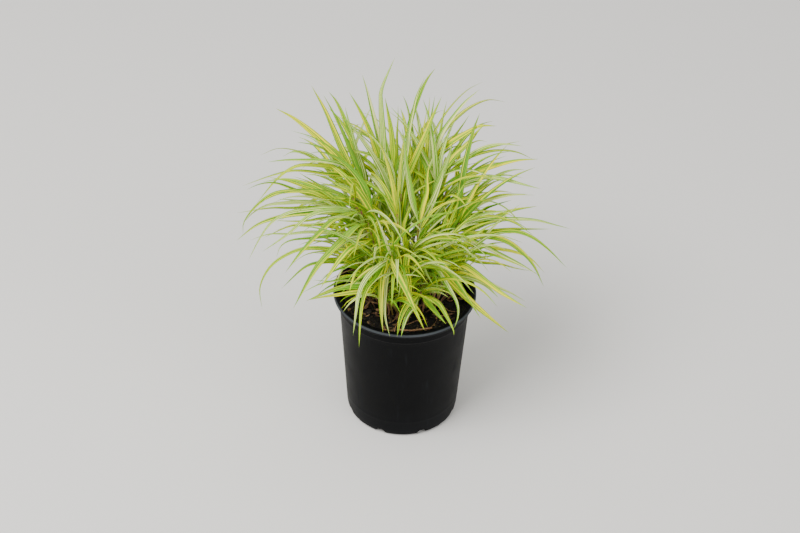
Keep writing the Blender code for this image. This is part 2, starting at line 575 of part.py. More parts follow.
def grow_blade(paths, width, facing, twist, own, others):
    """The first of the paths on which the blade clears other stems and, if it can, its own stem's blades."""
    fallback = None
    for path in paths:
        if min(point[2] for point in path) < 0.02:
            continue
        if not clear_of(blade_solid(path, width, facing, twist, BLADE_GAP), others):
            continue
        solid = blade_solid(path, width, facing, twist)
        outer = (solid[0], [face for face in solid[1] if min(face) > 2])
        if clear_of(outer, own):
            return solid
        fallback = fallback or solid
    return fallback


def crown_spots(taken):
    """Feet of the grown stems: an even spiral over the crown that leaves out spots near picked feet."""
    spots = []
    for i in range(CROWN_SPOTS):
        radius = CROWN_RADIUS * math.sqrt((i + 0.5) / CROWN_SPOTS)
        angle = i * math.pi * (3 - math.sqrt(5))
        spot = np.array([radius * math.cos(angle), radius * math.sin(angle)])
        if all(np.hypot(*(spot - other)) > LEAST_SPACING for other in taken + spots):
            spots.append(spot)
    return spots


def fused(stem_parts):
    """Joins each stem's culm and blades into one body by a Boolean union on a collection."""
    waiting = []
    for name, culm, blades, finishes in stem_parts:
        host = placed(name, *culm, finishes["culm"])
        group = bpy.data.collections.new(name + "_blades")
        bpy.context.scene.collection.children.link(group)
        for i, (solid, tone) in enumerate(blades):
            blade = placed(f"{name}_blade_{i}", *solid, finishes[tone])
            bpy.context.scene.collection.objects.unlink(blade)
            group.objects.link(blade)
        union = host.modifiers.new("blades", "BOOLEAN")
        union.operation = "UNION"
        union.operand_type = "COLLECTION"
        union.collection = group
        union.material_mode = "TRANSFER"
        waiting.append((host, group))
    bpy.context.view_layer.update()
    graph = bpy.context.evaluated_depsgraph_get()
    for host, group in waiting:
        joined = bpy.data.meshes.new_from_object(host.evaluated_get(graph))
        host.modifiers.clear()
        host.data = joined
        for blade in list(group.objects):
            bpy.data.objects.remove(blade)
        bpy.data.collections.remove(group)


def main():
    clear_scene()
    rng = np.random.default_rng(SEED)
    finishes = {tone: finish_of(f"{tone}_blade", colour, 0.5) for tone, colour in TONES.items()}
    finishes["culm"] = finish_of("culm", CULM_COLOUR, 0.55)
    pot = make_pot()
    pot_tree = tree_of(([vertex.co for vertex in pot.data.vertices],
                        [tuple(polygon.vertices) for polygon in pot.data.polygons]))

    culms = {}
    culm_trees = {}
    for stem in PICKED:
        centres = picked_culm(stem, list(culm_trees.values()))
        if centres is None:
            raise RuntimeError(f"{stem.name} has no clear way up")
        culms[stem.name] = (centres, stem.foot)
        culm_trees[stem.name] = tree_of(culm_solid(centres))
    taken = [np.array(stem.foot) * MM for stem in PICKED]
    grown = {}
    for i, foot in enumerate(crown_spots(taken)):
        name = f"stem_grown_{i + 1:02d}"
        found = grown_culm(rng, foot, list(culm_trees.values()))
        if found is None:
            continue
        grown[name] = (foot, *found)
        culm_trees[name] = tree_of(culm_solid(found[0]))
    feet = [np.array(foot) * MM for _, foot in culms.values()] + [foot for foot, *_ in grown.values()]
    mix_tree = tree_of(make_mix(feet))

    parts = []
    blade_trees = []
    for stem in PICKED:
        centres = culms[stem.name][0]
        others = [tree for name, tree in culm_trees.items() if name != stem.name]
        others += blade_trees + [pot_tree, mix_tree]
        own = []
        blades = []
        for blade in stem.blades:
            solid = grow_blade(picked_paths(blade, centres), blade.width * MM, FACING, 0.0, own, others)
            if solid is not None:
                own.append(tree_of(solid))
                blades.append((solid, blade.tone))
        blade_trees += own
        parts.append((stem.name, culm_solid(centres), blades, finishes))
    for name, (foot, centres, heading, behind) in grown.items():
        others = [tree for other, tree in culm_trees.items() if other != name]
        others += blade_trees + [pot_tree, mix_tree]
        own = []
        blades = []
        for k, at in enumerate((1.0, 0.9, 0.8, 0.68, 0.55, 0.42)):
            tone = rng.choice(sorted(TONES), p=(0.2, 0.2, 0.32, 0.28))
            width = rng.uniform(0.0065, 0.0095) if behind else rng.uniform(0.0045, 0.0065)
            facing = unit(np.array([0.4 * math.cos(heading), 0.4 * math.sin(heading), 1.0]))
            twist = rng.uniform(-0.6, 0.6)
            side = 1 if k % 2 else -1
            paths = grown_paths(rng, centres, heading, behind, at, side)
            solid = grow_blade(paths, width, facing, twist, own, others)
            if solid is not None:
                own.append(tree_of(solid))
                blades.append((solid, tone))
        blade_trees += own
        parts.append((name, culm_solid(centres), blades, finishes))
    fused(parts)


main()
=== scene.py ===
"""Looks of a variegated forest grass in its black nursery pot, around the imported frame.

Each leafy stem of the frame is replaced by a finer one that repeats its rule: the same picked pixels, the
same seeded draws and the same tests for a clear way, with folded, striped blades, jointed culms and small
leaves between the big ones.
The pot, the crumbly mix and what lies on it are surfaces over two parameters, worked out as whole arrays.
Metres, +Z up, the origin under the pot's axis; the viewer is at -Y.
"""

import math
from collections import namedtuple

import bpy
import numpy as np
from mathutils import Matrix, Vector
from mathutils.bvhtree import BVHTree


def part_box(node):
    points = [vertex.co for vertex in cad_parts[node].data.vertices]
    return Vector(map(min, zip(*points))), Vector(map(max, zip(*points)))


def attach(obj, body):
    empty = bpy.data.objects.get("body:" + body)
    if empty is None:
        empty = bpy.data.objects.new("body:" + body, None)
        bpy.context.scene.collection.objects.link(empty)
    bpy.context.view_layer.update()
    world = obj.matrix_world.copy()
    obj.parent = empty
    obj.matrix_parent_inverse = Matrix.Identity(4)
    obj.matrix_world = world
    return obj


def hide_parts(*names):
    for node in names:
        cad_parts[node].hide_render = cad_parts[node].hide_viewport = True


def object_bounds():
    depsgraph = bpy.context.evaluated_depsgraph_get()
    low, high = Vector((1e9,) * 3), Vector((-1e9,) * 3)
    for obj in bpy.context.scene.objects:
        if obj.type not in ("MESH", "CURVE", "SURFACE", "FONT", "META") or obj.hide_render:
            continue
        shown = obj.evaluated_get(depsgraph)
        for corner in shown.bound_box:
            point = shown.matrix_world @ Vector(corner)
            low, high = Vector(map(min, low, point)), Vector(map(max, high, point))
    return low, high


bl_info = {
    "name": "Potted forest grass",
    "version": (1, 0, 0),
    "blender": (4, 5, 0),
    "location": "View3D > Sidebar > Grass",
    "description": "Dresses a potted variegated grass: pot, potting mix, chips and leafy stems",
    "category": "Object",
}

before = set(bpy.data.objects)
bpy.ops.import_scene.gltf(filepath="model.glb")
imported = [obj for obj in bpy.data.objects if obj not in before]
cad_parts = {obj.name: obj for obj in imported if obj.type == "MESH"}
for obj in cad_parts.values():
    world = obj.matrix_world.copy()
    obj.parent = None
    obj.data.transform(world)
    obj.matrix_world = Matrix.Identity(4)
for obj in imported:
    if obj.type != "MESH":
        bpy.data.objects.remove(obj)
CAD_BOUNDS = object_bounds()
LOW_CORNER, HIGH_CORNER = (np.array(corner) for corner in CAD_BOUNDS)
POT_LOW, POT_HIGH = (np.array(corner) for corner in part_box("pot"))

MM = 0.001
TAU = 2 * math.pi

# Pot, as the frame has it
POT_HEIGHT = float(POT_HIGH[2] - POT_LOW[2])
FOOT_RADIUS = 0.0650
WALL_TOP_RADIUS = 0.0752
COLLAR_RADIUS = 0.0768
COLLAR_HEIGHT = 0.018
LIP_RADIUS = 0.0825
LIP_HEIGHT = 0.006
WALL = 0.0013
FLOOR = 0.0025
CORNER = 0.005
POT_SIDES = 36
INNER_CORNER_HEIGHT = 0.007
INNER_CORNER_WIDTH = 0.004
SHARP_ANGLE = math.radians(38)
DRAIN_HOLES = 8
DRAIN_RADIUS = 0.0065

# Potting mix
MIX_TOP = 0.157
MIX_BUMP = 0.0016
CLEARANCE = 0.0003
MIX_SIDES = 24
MIX_RINGS = 4
MIX_TOP_GAP = 0.0006
MIX_FOOT_GAP = 0.0012
MIX_FOOT_HEIGHT = 0.009
MIX_CHAMFER = 0.006
HOLE_DEPTH = 0.008
HOLE_GAP = 0.0007

# Culms and blades of the frame
CULM_RADIUS = 0.0011
CULM_TIP_RADIUS = 0.0008
CULM_SIDES = 5
CULM_STAND = 0.005
CULM_KNEE = (0.32, 0.32, 0.55)
BLADE_THICKNESS = 0.0008
ROOT_SHARE = 0.15
BLADE_GAP = 0.0004
LOWEST_LEAF = 0.02
BLADE_STATIONS = (0.0, 0.13, 0.33, 0.56, 0.79, 1.0)
CULM_STATIONS = (0.0, 0.38, 0.70, 1.0)
GROWN_PLACES = (1.0, 0.9, 0.8, 0.68, 0.55, 0.42)

# Crown of the plant
CROWN_RADIUS = 0.036
CROWN_SPOTS = 64
LEAST_SPACING = 0.0060
SEED = 4
DEPTH_SHIFTS = (0, 6, -6, 12, -12, 19, -19, 27, -27, 36, -36, 46, -46)
DRAWS = 60

# Steps of the finer surfaces, and how far a culm's foot and a blade lie below their paths
BLADE_STEPS = 30
SHOOT_STEPS = 18
LOOP_ACROSS = np.array([-1.0, -0.68, -0.34, 0.0, 0.34, 0.68, 1.0, 0.66, 0.30, 0.0, -0.30, -0.66])
UPPER_POINTS = 7
CULM_STEPS = 44
FINE_CULM_SIDES = 10
CULM_BESIDE = (0.25, 1.0, 0.0)
CULM_SINK = 0.003
BLADE_SINK = 0.0001
MIX_CIRCLES = 92
MIX_SPOKES = 288
POLE_RADIUS = 0.0004
PLUG_SIDES = 20
PLUG_REACH = 0.015
PLUG_TILT = math.radians(125)
CHIP_SIDES = 7
LAID_CHIP_SIDES = 9

# The pot's underside from its middle out: pairs of radius and height, and the bead low on its wall
FOOT_OUTLINE = ((POLE_RADIUS, 0.0012), (0.020, 0.0012), (0.022, 0.0002), (0.030, 0.0002), (0.032, 0.0010),
                (0.046, 0.0010), (0.048, 0.0))
BEAD_HEIGHTS = (0.0225, 0.0232)
BEAD_RISE = 0.00012

# Small leaves: tries at a clear way, room left to the frame's box, facing, turn and the tones they draw from
SHOOT_TRIES = 12
SPRAY_TRIES = 14
BOX_MARGIN = 0.003
SHOOT_FACING = np.array([0.0, -0.2, 1.0])
SHOOT_TWIST = 0.2
SHOOT_TONES = ("green", "lime", "cream", "cream", "green")
SPRAY_TONES = ("green", "lime", "cream", "cream", "yellow")

# How far from the axis chips, stubs and fibres lie, and how they sit on the mix
LITTER_REACH = 0.0705
STUB_REACH = 0.043
FIBRE_REACH = 0.062
LITTER_LIFT = 0.0003
STUB_DEPTH = 0.002

# What lies on the mix at a pixel of the photograph: pixel, length and width in mm, turn in degrees, paleness
LAID_CHIPS = (
    ((344, 307), 6.0, 4.4, 60, 0.80), ((349, 311), 6.8, 4.8, 70, 0.62), ((378, 312), 5.5, 4.6, 10, 1.0),
    ((380, 331), 4.6, 3.4, 130, 1.0), ((366, 309), 3.2, 2.6, 60, 0.72), ((433, 306), 3.2, 2.4, 20, 0.9),
    ((434, 324), 3.4, 2.6, 100, 0.85), ((440, 321), 3.0, 2.2, 150, 0.95), ((441, 316), 3.6, 2.6, 40, 0.7),
)
LAID_STICK = ((399, 331), (410, 331.5), (421, 331), (432, 329))

# The photograph's view: a pixel and a distance behind the pot's axis give one point
VIEW_TARGET = np.array([-0.0063, 0.0, 0.2033])
VIEW_DISTANCE = 2.2
VIEW_ELEVATION = math.radians(38.3)
VIEW_ROLL = math.radians(1.54)
FOCAL_PX = 1930.0
CENTRE_PX = (400.0, 266.5)
IMAGE_WIDTH = 800
SENSOR = 36.0
FACING = np.array([0.0, -0.47, 0.80])

# Half the floor's side, where the lights are turned to, each light's place, side and tint, and the sky's
FLOOR_REACH = 6
LIT_SPOT = (0, 0, 0.2)
KEY_LIGHT = ((-1.3, -1.0, 2.6), 1.8, (1.0, 0.985, 0.96))
FILL_LIGHT = ((2.2, -1.8, 1.2), 2.2, (1.0, 1.0, 1.0))
SKY_TINT = (1.0, 0.99, 0.97, 1.0)

# The darker, duller tint of the painted shade that clouds the leaves, and the dry tint of some points
LEAF_SHADE_TINT = (0.44, 0.52, 0.06)
DRY_POINT = (0.42, 0.30, 0.12)

# Tone of a blade: share of green and share of cream in its stripes
TONES = {"lime": (0.52, 0.30), "yellow": (0.20, 0.15), "cream": (0.26, 0.90), "green": (0.78, 0.45)}

# A stem: name, foot from the pot's axis in mm, pixel and distance behind the axis (mm) of its top, blades.
# A blade: place along the culm, pixels from there to its tip, the tip's distance (mm), width (mm), tone.
Stem = namedtuple("Stem", "name foot top depth blades")
Blade = namedtuple("Blade", "at pixels depth width tone")
PICKED = (
    Stem("stem_back_centre", (-8, 12), (394, 168), 55, (
        Blade(1.0, ((393, 152), (391, 130), (388, 113), (385, 97)), 64, 8.0, "yellow"),
        Blade(0.86, ((397, 160), (397, 135), (398, 118), (398, 105)), 80, 4.5, "green"),
        Blade(0.74, ((389, 184), (384, 165), (383, 138), (381, 105), (382, 88), (395, 57)), 96, 9.5, "cream"),
        Blade(0.66, ((391, 193), (382, 171), (371, 152), (358, 134), (348, 122), (337, 116)),
              50, 8.5, "cream"),
    )),
    Stem("stem_back_left", (-16, 22), (388, 178), 78, (
        Blade(1.0, ((383, 155), (377, 130), (371, 106), (367, 90), (362, 74)), 112, 8.0, "cream"),
        Blade(0.9, ((380, 160), (375, 145), (367, 125), (358, 107), (349, 92)), 96, 10.0, "yellow"),
        Blade(0.7, ((376, 172), (366, 160), (352, 150), (340, 146)), 120, 7.0, "lime"),
    )),
    Stem("stem_left_high", (-19, 9), (354, 171), 44, (
        Blade(1.0, ((341, 159), (325, 144), (308, 129), (292, 117), (275, 108)), 66, 10.5, "yellow"),
        Blade(0.95, ((348, 161), (341, 147), (333, 128), (324, 108), (311, 85)), 84, 8.5, "yellow"),
        Blade(0.8, ((364, 184), (355, 162), (345, 137), (334, 114), (323, 94)), 76, 6.5, "green"),
        Blade(0.92, ((344, 166), (325, 161), (305, 160), (285, 160), (267, 162)), 20, 6.5, "cream"),
        Blade(0.88, ((344, 158), (334, 151), (322, 148), (310, 144), (296, 142)), 72, 5.0, "green"),
    )),
    Stem("stem_left_shoulder", (-27, 15), (366, 190), 52, (
        Blade(0.95, ((363, 172), (357, 152), (351, 130), (347, 115), (345, 106)), 88, 7.0, "cream"),
        Blade(1.0, ((350, 176), (334, 168), (310, 165), (294, 167), (277, 179), (256, 204)),
              4, 6.5, "yellow"),
        Blade(0.88, ((347, 178), (326, 174), (306, 171), (290, 171), (270, 176), (242, 186)),
              24, 5.0, "green"),
        Blade(0.75, ((358, 196), (348, 186), (336, 180), (322, 171), (311, 168)), 66, 5.5, "lime"),
    )),
    Stem("stem_left_upper", (-31, 5), (353, 198), 22, (
        Blade(1.0, ((335, 197), (318, 191), (303, 186), (288, 181), (268, 177)), 20, 6.5, "yellow"),
        Blade(0.92, ((336, 203), (315, 197), (296, 190), (276, 183), (260, 184), (246, 190)), 2, 5.5, "lime"),
        Blade(0.88, ((340, 194), (328, 190), (316, 183), (306, 177), (298, 172)), 46, 5.0, "green"),
        Blade(0.8, ((350, 192), (340, 186), (328, 179), (316, 175), (304, 174)), 56, 4.5, "lime"),
        Blade(0.7, ((346, 212), (330, 206), (310, 202), (292, 200), (278, 199)), -8, 6.5, "cream"),
    )),
    Stem("stem_left_middle", (-33, -7), (357, 207), 4, (
        Blade(1.0, ((335, 202), (312, 192), (293, 191), (273, 194), (256, 206), (244, 222), (243, 235)),
              -24, 7.0,
              "lime"),
        Blade(0.95, ((330, 205), (305, 202), (285, 203), (268, 205), (254, 212), (244, 222)),
              -14, 7.0, "cream"),
        Blade(0.9, ((335, 208), (310, 207), (290, 208), (270, 208), (236, 213)), 12, 4.5, "green"),
        Blade(0.85, ((332, 212), (308, 213), (290, 215), (272, 219), (255, 226), (236, 241)),
              -36, 8.5, "green"),
        Blade(0.7, ((346, 219), (325, 218), (305, 221), (286, 221), (274, 220)), 20, 5.0, "lime"),
    )),
    Stem("stem_left_low", (-29, -16), (361, 211), -12, (
        Blade(0.98, ((345, 208), (325, 208), (305, 210), (288, 213), (272, 222), (260, 238), (248, 261)),
              -44, 5.5,
              "cream"),
        Blade(0.94, ((345, 211), (326, 211), (311, 215), (300, 223), (288, 234), (262, 252)),
              -56, 6.5, "cream"),
        Blade(1.0, ((349, 214), (333, 220), (321, 231), (309, 243), (297, 257), (285, 273)),
              -66, 8.0, "lime"),
        Blade(0.8, ((350, 226), (330, 224), (310, 225), (290, 226), (263, 238)), -22, 5.0, "green"),
        Blade(0.7, ((350, 233), (330, 233), (308, 232), (288, 234), (270, 234), (250, 240)),
              -34, 5.0, "cream"),
        Blade(0.6, ((354, 238), (335, 236), (312, 238), (292, 240), (281, 246), (276, 258)),
              -44, 5.0, "green"),
    )),
    Stem("stem_front_left_high", (-22, -23), (368, 223), -30, (
        Blade(1.0, ((356, 227), (343, 239), (331, 251), (319, 264), (308, 281), (293, 309)),
              -96, 9.0, "lime"),
        Blade(0.88, ((360, 237), (347, 240), (336, 248), (324, 258), (310, 273)), -74, 7.5, "cream"),
        Blade(0.78, ((364, 243), (352, 247), (342, 257), (333, 269), (320, 289)), -92, 8.5, "yellow"),
        Blade(0.72, ((352, 250), (332, 249), (308, 248), (288, 254), (270, 267), (260, 287), (262, 309)),
              -62, 5.5,
              "lime"),
        Blade(0.6, ((360, 256), (345, 262), (325, 262), (305, 267), (281, 289)), -80, 6.0, "green"),
        Blade(0.5, ((366, 268), (350, 266), (334, 271), (325, 277), (316, 286)), -96, 4.0, "green"),
    )),
    Stem("stem_front_left_low", (-20, -30), (380, 264), -54, (
        Blade(1.0, ((375, 268), (366, 273), (356, 281), (349, 288)), -88, 7.5, "green"),
        Blade(0.7, ((370, 274), (350, 276), (332, 281), (312, 280)), -74, 3.5, "green"),
        Blade(0.5, ((371, 289), (357, 293), (346, 297), (339, 303)), -92, 4.0, "green"),
    )),
    Stem("stem_front_left_foot", (-13, -33), (381, 284), -52, (
        Blade(1.0, ((372, 287), (358, 286), (340, 288), (325, 293), (306, 301)), -76, 9.0, "lime"),
        Blade(0.9, ((372, 291), (356, 292), (336, 295), (322, 297), (309, 300)), -84, 7.0, "lime"),
    )),
    Stem("stem_front_centre", (-5, -23), (402, 257), -36, (
        Blade(1.0, ((390, 260), (378, 267), (366, 279), (359, 294), (356, 313), (353, 336)),
              -98, 8.0, "cream"),
        Blade(0.9, ((396, 262), (388, 262), (383, 272), (381, 290), (381, 310), (383, 333)),
              -88, 10.0, "lime"),
        Blade(0.82, ((391, 265), (387, 276), (385, 295), (385, 316), (390, 337)), -98, 6.5, "cream"),
        Blade(0.74, ((388, 259), (377, 276), (367, 288), (362, 304), (360, 325), (359, 348)),
              -108, 7.5, "lime"),
    )),
    Stem("stem_front_crown", (3, -31), (392, 256), -58, (
        Blade(1.0, ((392, 262), (399, 276), (407, 292), (415, 310), (425, 331)), -104, 9.5, "yellow"),
        Blade(0.9, ((388, 250), (384, 238), (380, 227), (375, 214)), -66, 7.0, "cream"),
    )),
    Stem("stem_front_right_crown", (5, -16), (409, 252), -28, (
        Blade(1.0, ((407, 257), (406, 267), (409, 281), (412, 303)), -84, 9.0, "yellow"),
        Blade(0.85, ((399, 244), (397, 249), (401, 261), (402, 275)), -66, 5.5, "yellow"),
        Blade(0.7, ((405, 240), (404, 228), (407, 216), (409, 204)), -14, 6.0, "yellow"),
    )),
    Stem("stem_front_right_foot", (13, -27), (421, 293), -52, (
        Blade(1.0, ((428, 303), (434, 310), (440, 317), (446, 324)), -88, 8.0, "green"),
        Blade(0.86, ((431, 299), (439, 304), (446, 315), (453, 329), (454, 336)), -96, 7.5, "lime"),
        Blade(0.95, ((411, 301), (405, 308), (400, 320), (397, 337)), -88, 8.5, "lime"),
        Blade(0.8, ((414, 306), (408, 314), (404, 324), (401, 337)), -94, 7.5, "cream"),
        Blade(0.7, ((425, 291), (434, 289), (444, 291), (453, 295)), -66, 5.0, "green"),
    )),
    Stem("stem_front_right_high", (23, -20), (424, 252), -26, (
        Blade(1.0, ((432, 254), (441, 262), (452, 275), (462, 289), (471, 303), (481, 319)),
              -70, 8.0, "lime"),
        Blade(0.82, ((431, 262), (439, 272), (449, 288), (457, 303), (458, 316), (454, 329)),
              -84, 6.5, "cream"),
        Blade(0.7, ((419, 260), (424, 268), (428, 276), (434, 286)), -58, 5.5, "cream"),
        Blade(0.64, ((437, 268), (450, 281), (463, 294), (483, 312), (509, 333)), -96, 11.0, "yellow"),
    )),
    Stem("stem_right_low", (30, -12), (446, 266), -14, (
        Blade(1.0, ((462, 265), (474, 272), (488, 283), (503, 294), (527, 308)), -44, 9.0, "yellow"),
        Blade(0.9, ((458, 276), (472, 279), (485, 285), (499, 298)), -30, 7.5, "cream"),
        Blade(0.8, ((462, 271), (480, 278), (500, 288), (513, 294), (526, 302)), -20, 5.5, "cream"),
        Blade(0.94, ((456, 262), (470, 259), (484, 257), (499, 255)), 14, 5.0, "lime"),
    )),
    Stem("stem_right_middle", (33, 0), (450, 238), 8, (
        Blade(1.0, ((464, 239), (480, 244), (500, 254), (520, 264), (540, 276)), -12, 6.5, "cream"),
        Blade(0.95, ((466, 234), (486, 236), (506, 241), (522, 252), (534, 266), (544, 287)),
              -26, 8.5, "lime"),
        Blade(0.88, ((466, 244), (482, 246), (500, 249), (515, 252), (530, 258), (545, 273)),
              12, 6.0, "yellow"),
        Blade(0.75, ((462, 250), (478, 252), (494, 255), (512, 262), (525, 268)), -30, 5.5, "lime"),
        Blade(0.65, ((460, 256), (478, 262), (500, 264), (515, 268), (531, 271)), -4, 4.5, "green"),
    )),
    Stem("stem_right_shoulder", (30, 13), (450, 231), 26, (
        Blade(1.0, ((470, 230), (490, 222), (510, 219), (535, 220), (552, 224), (571, 229)),
              18, 6.5, "cream"),
        Blade(0.93, ((470, 234), (490, 231), (510, 229), (530, 229), (551, 229)), 30, 5.5, "green"),
        Blade(0.86, ((468, 239), (490, 234), (512, 231), (530, 236), (547, 248), (567, 268)),
              -10, 7.0, "yellow"),
        Blade(0.97, ((462, 229), (480, 224), (498, 216), (514, 210), (538, 206)), 44, 8.0, "lime"),
    )),
    Stem("stem_right_upper", (24, 20), (448, 216), 42, (
        Blade(1.0, ((460, 213), (474, 207), (488, 200), (503, 195), (528, 194)), 56, 6.5, "lime"),
        Blade(0.9, ((461, 224), (473, 219), (485, 209), (498, 204), (512, 200)), 66, 5.5, "green"),
        Blade(0.94, ((460, 219), (476, 215), (492, 212), (510, 210)), 28, 4.5, "cream"),
        Blade(0.8, ((449, 212), (456, 206), (461, 197), (463, 188)), 52, 4.5, "lime"),
    )),
    Stem("stem_right_high", (18, 25), (446, 192), 58, (
        Blade(1.0, ((458, 185), (474, 179), (490, 177), (507, 180), (522, 184), (541, 189)),
              44, 8.5, "cream"),
        Blade(0.92, ((452, 193), (464, 187), (476, 183), (490, 180)), 34, 5.5, "cream"),
        Blade(0.96, ((460, 181), (474, 173), (488, 168), (505, 163), (520, 160), (539, 159)),
              66, 8.5, "yellow"),
        Blade(0.84, ((456, 190), (472, 182), (490, 177), (506, 175), (524, 178)), 60, 5.0, "green"),
        Blade(0.7, ((448, 200), (466, 197), (482, 193), (499, 191)), 48, 4.5, "lime"),
    )),
    Stem("stem_back_right", (10, 16), (443, 170), 66, (
        Blade(1.0, ((456, 163), (470, 155), (485, 147), (502, 144), (523, 146)), 70, 6.0, "cream"),
        Blade(0.96, ((453, 158), (462, 149), (471, 140), (478, 131), (485, 124)), 96, 8.5, "lime"),
        Blade(0.9, ((452, 170), (466, 160), (480, 151), (496, 146), (521, 141)), 88, 4.5, "green"),
        Blade(0.82, ((452, 180), (468, 170), (482, 160), (496, 154), (512, 151)), 60, 4.5, "green"),
        Blade(0.66, ((437, 186), (443, 172), (449, 156), (453, 141)), 50, 10.5, "cream"),
    )),
    Stem("stem_back_high", (2, 25), (434, 158), 82, (
        Blade(1.0, ((440, 151), (452, 142), (466, 133), (480, 126), (497, 126)), 92, 8.5, "yellow"),
        Blade(0.95, ((438, 143), (444, 130), (453, 117), (465, 102), (480, 89)), 116, 7.0, "cream"),
        Blade(0.88, ((437, 148), (440, 134), (443, 117), (447, 100)), 122, 5.0, "green"),
        Blade(0.8, ((444, 146), (452, 139), (462, 126), (470, 114)), 130, 5.0, "lime"),
        Blade(0.9, ((431, 150), (431, 140), (434, 130)), 90, 8.0, "cream"),
    )),
    Stem("stem_back_middle", (-1, 14), (401, 194), 46, (
        Blade(1.0, ((407, 176), (415, 158), (424, 138), (432, 118), (442, 96)), 96, 9.5, "yellow"),
        Blade(0.94, ((403, 172), (407, 150), (409, 132), (413, 112), (417, 95), (425, 77)),
              100, 7.5, "cream"),
    )),
    Stem("stem_centre", (9, 4), (419, 224), 8, (
        Blade(1.0, ((413, 203), (409, 182), (406, 163), (405, 146), (402, 127)), 22, 8.5, "cream"),
        Blade(0.9, ((428, 211), (435, 196), (441, 180), (445, 166)), 40, 10.0, "cream"),
        Blade(0.95, ((423, 206), (427, 192), (427, 177), (430, 160)), 30, 7.0, "yellow"),
        Blade(0.84, ((431, 213), (444, 204), (458, 200), (476, 198)), 12, 4.5, "lime"),
        Blade(0.72, ((430, 236), (438, 232), (448, 229), (458, 228)), -4, 4.5, "cream"),
    )),
    Stem("stem_centre_right", (20, -4), (441, 246), -2, (
        Blade(1.0, ((446, 234), (452, 218), (457, 206), (461, 192)), 14, 5.5, "lime"),
        Blade(0.9, ((450, 232), (456, 222), (462, 212), (466, 203)), 26, 5.5, "green"),
        Blade(0.96, ((447, 226), (446, 213), (443, 204)), 10, 6.0, "lime"),
    )),
)

# A stem and a leaf as they are grown, and a part of a mesh
Stalk = namedtuple("Stalk", "name centres heading leaves joints")
Leaf = namedtuple("Leaf", "path width facing twist tone")
Patch = namedtuple("Patch", "points corners sizes across_along habit material")

# The one dead leaf that hangs out of the front left of the crown, and the stem that bears it
DEAD_LEAF = Blade(0.5, ((362, 268), (347, 271), (326, 281)), -62, 2.6, "dead")
DEAD_LEAF_STEM = "stem_front_left_high"
DEAD_LEAF_TWIST = 0.9
DEAD_LEAF_SHARES = (0.55, 0.5)


def colour(name, description, default):
    """A colour that a user can change."""
    return bpy.props.FloatVectorProperty(
        name=name, description=description, subtype="COLOR", size=3, default=default, min=0, max=1)


def number_of(name, description, default, least, most):
    """A whole number that a user can change."""
    return bpy.props.IntProperty(name=name, description=description, default=default, min=least, max=most)


def length_of(name, description, default, most):
    """A small length that a user can change."""
    return bpy.props.FloatProperty(
        name=name, description=description, subtype="DISTANCE", unit="LENGTH",
        default=default, min=0, max=most)


def power_of(name, description, default):
    """The power of a light, which a user can change."""
    return bpy.props.FloatProperty(
        name=name, description=description, subtype="POWER", unit="POWER", default=default, min=0)


class PotSettings(bpy.types.PropertyGroup):
    plastic: colour("Plastic", "Colour of the moulded shell", (0.0024, 0.0026, 0.0031))
    dust: colour("Dust", "Colour of the dust and scuffs on the shell", (0.016, 0.018, 0.021))
    # The lip colour is a painted highlight: the sky's reflection painted along the outer roll of the lip
    lip_highlight: colour("Lip highlight", "Colour of the highlight painted along the outer edge of the lip", (0.080, 0.090, 0.101))
    sides: number_of("Sides", "Steps round the shell", 180, 24, 720)


class MixSettings(bpy.types.PropertyGroup):
    dark: colour("Peat", "Colour of the damp fine mix", (0.0055, 0.0042, 0.0034))
    bark: colour("Bark", "Colour of the bark chips", (0.052, 0.028, 0.016))
    tan: colour("Tan", "Colour of the palest chips", (0.36, 0.205, 0.09))
    straw: colour("Straw", "Colour of old culms and fibres", (0.42, 0.215, 0.11))
    crumb: length_of("Crumb", "Height of the crumbs on top of the mix", 0.0016, 0.01)
    chips: number_of("Chips", "Bark chips on the mix", 420, 0, 2000)
    stubs: number_of("Stubs", "Old culm stubs round the crown", 110, 0, 400)
    fibres: number_of("Fibres", "Loose straws on the mix", 46, 0, 400)


class GrassSettings(bpy.types.PropertyGroup):
    yellow: colour("Yellow", "Golden stripes", (0.96, 0.89, 0.0))
    cream: colour("Cream", "Pale stripes", (0.93, 0.98, 0.36))
    lime: colour("Lime", "Light green stripes", (0.27, 0.58, 0.008))
    green: colour("Green", "Full green stripes", (0.06, 0.21, 0.014))
    culm: colour("Culm", "Colour between the nodes of a culm", (0.38, 0.44, 0.06))
    blush: colour("Blush", "Reddish colour at the nodes of a culm", (0.26, 0.085, 0.045))
    fold: bpy.props.FloatProperty(
        name="Fold", description="Height of a blade's edges over its midrib, per half width",
        subtype="FACTOR", default=0.26, min=0, max=1)
    skin: length_of("Blade thickness", "Thickness at the midrib", 0.00055, 0.002)
    shoots: number_of("Shoots", "Small leaves low on each stem", 7, 1, 12)
    sprays: number_of("Sprays", "Middling leaves over the shoots of each stem", 15, 1, 24)


class StageSettings(bpy.types.PropertyGroup):
    floor: colour("Floor", "Colour of the floor", (0.84, 0.83, 0.81))
    key: power_of("Key light", "Power of the large soft light", 101.0)
    fill: power_of("Fill light", "Power of the low side light", 28.0)
    sky: bpy.props.FloatProperty(name="Sky", description="Strength of the even light", default=0.76, min=0)


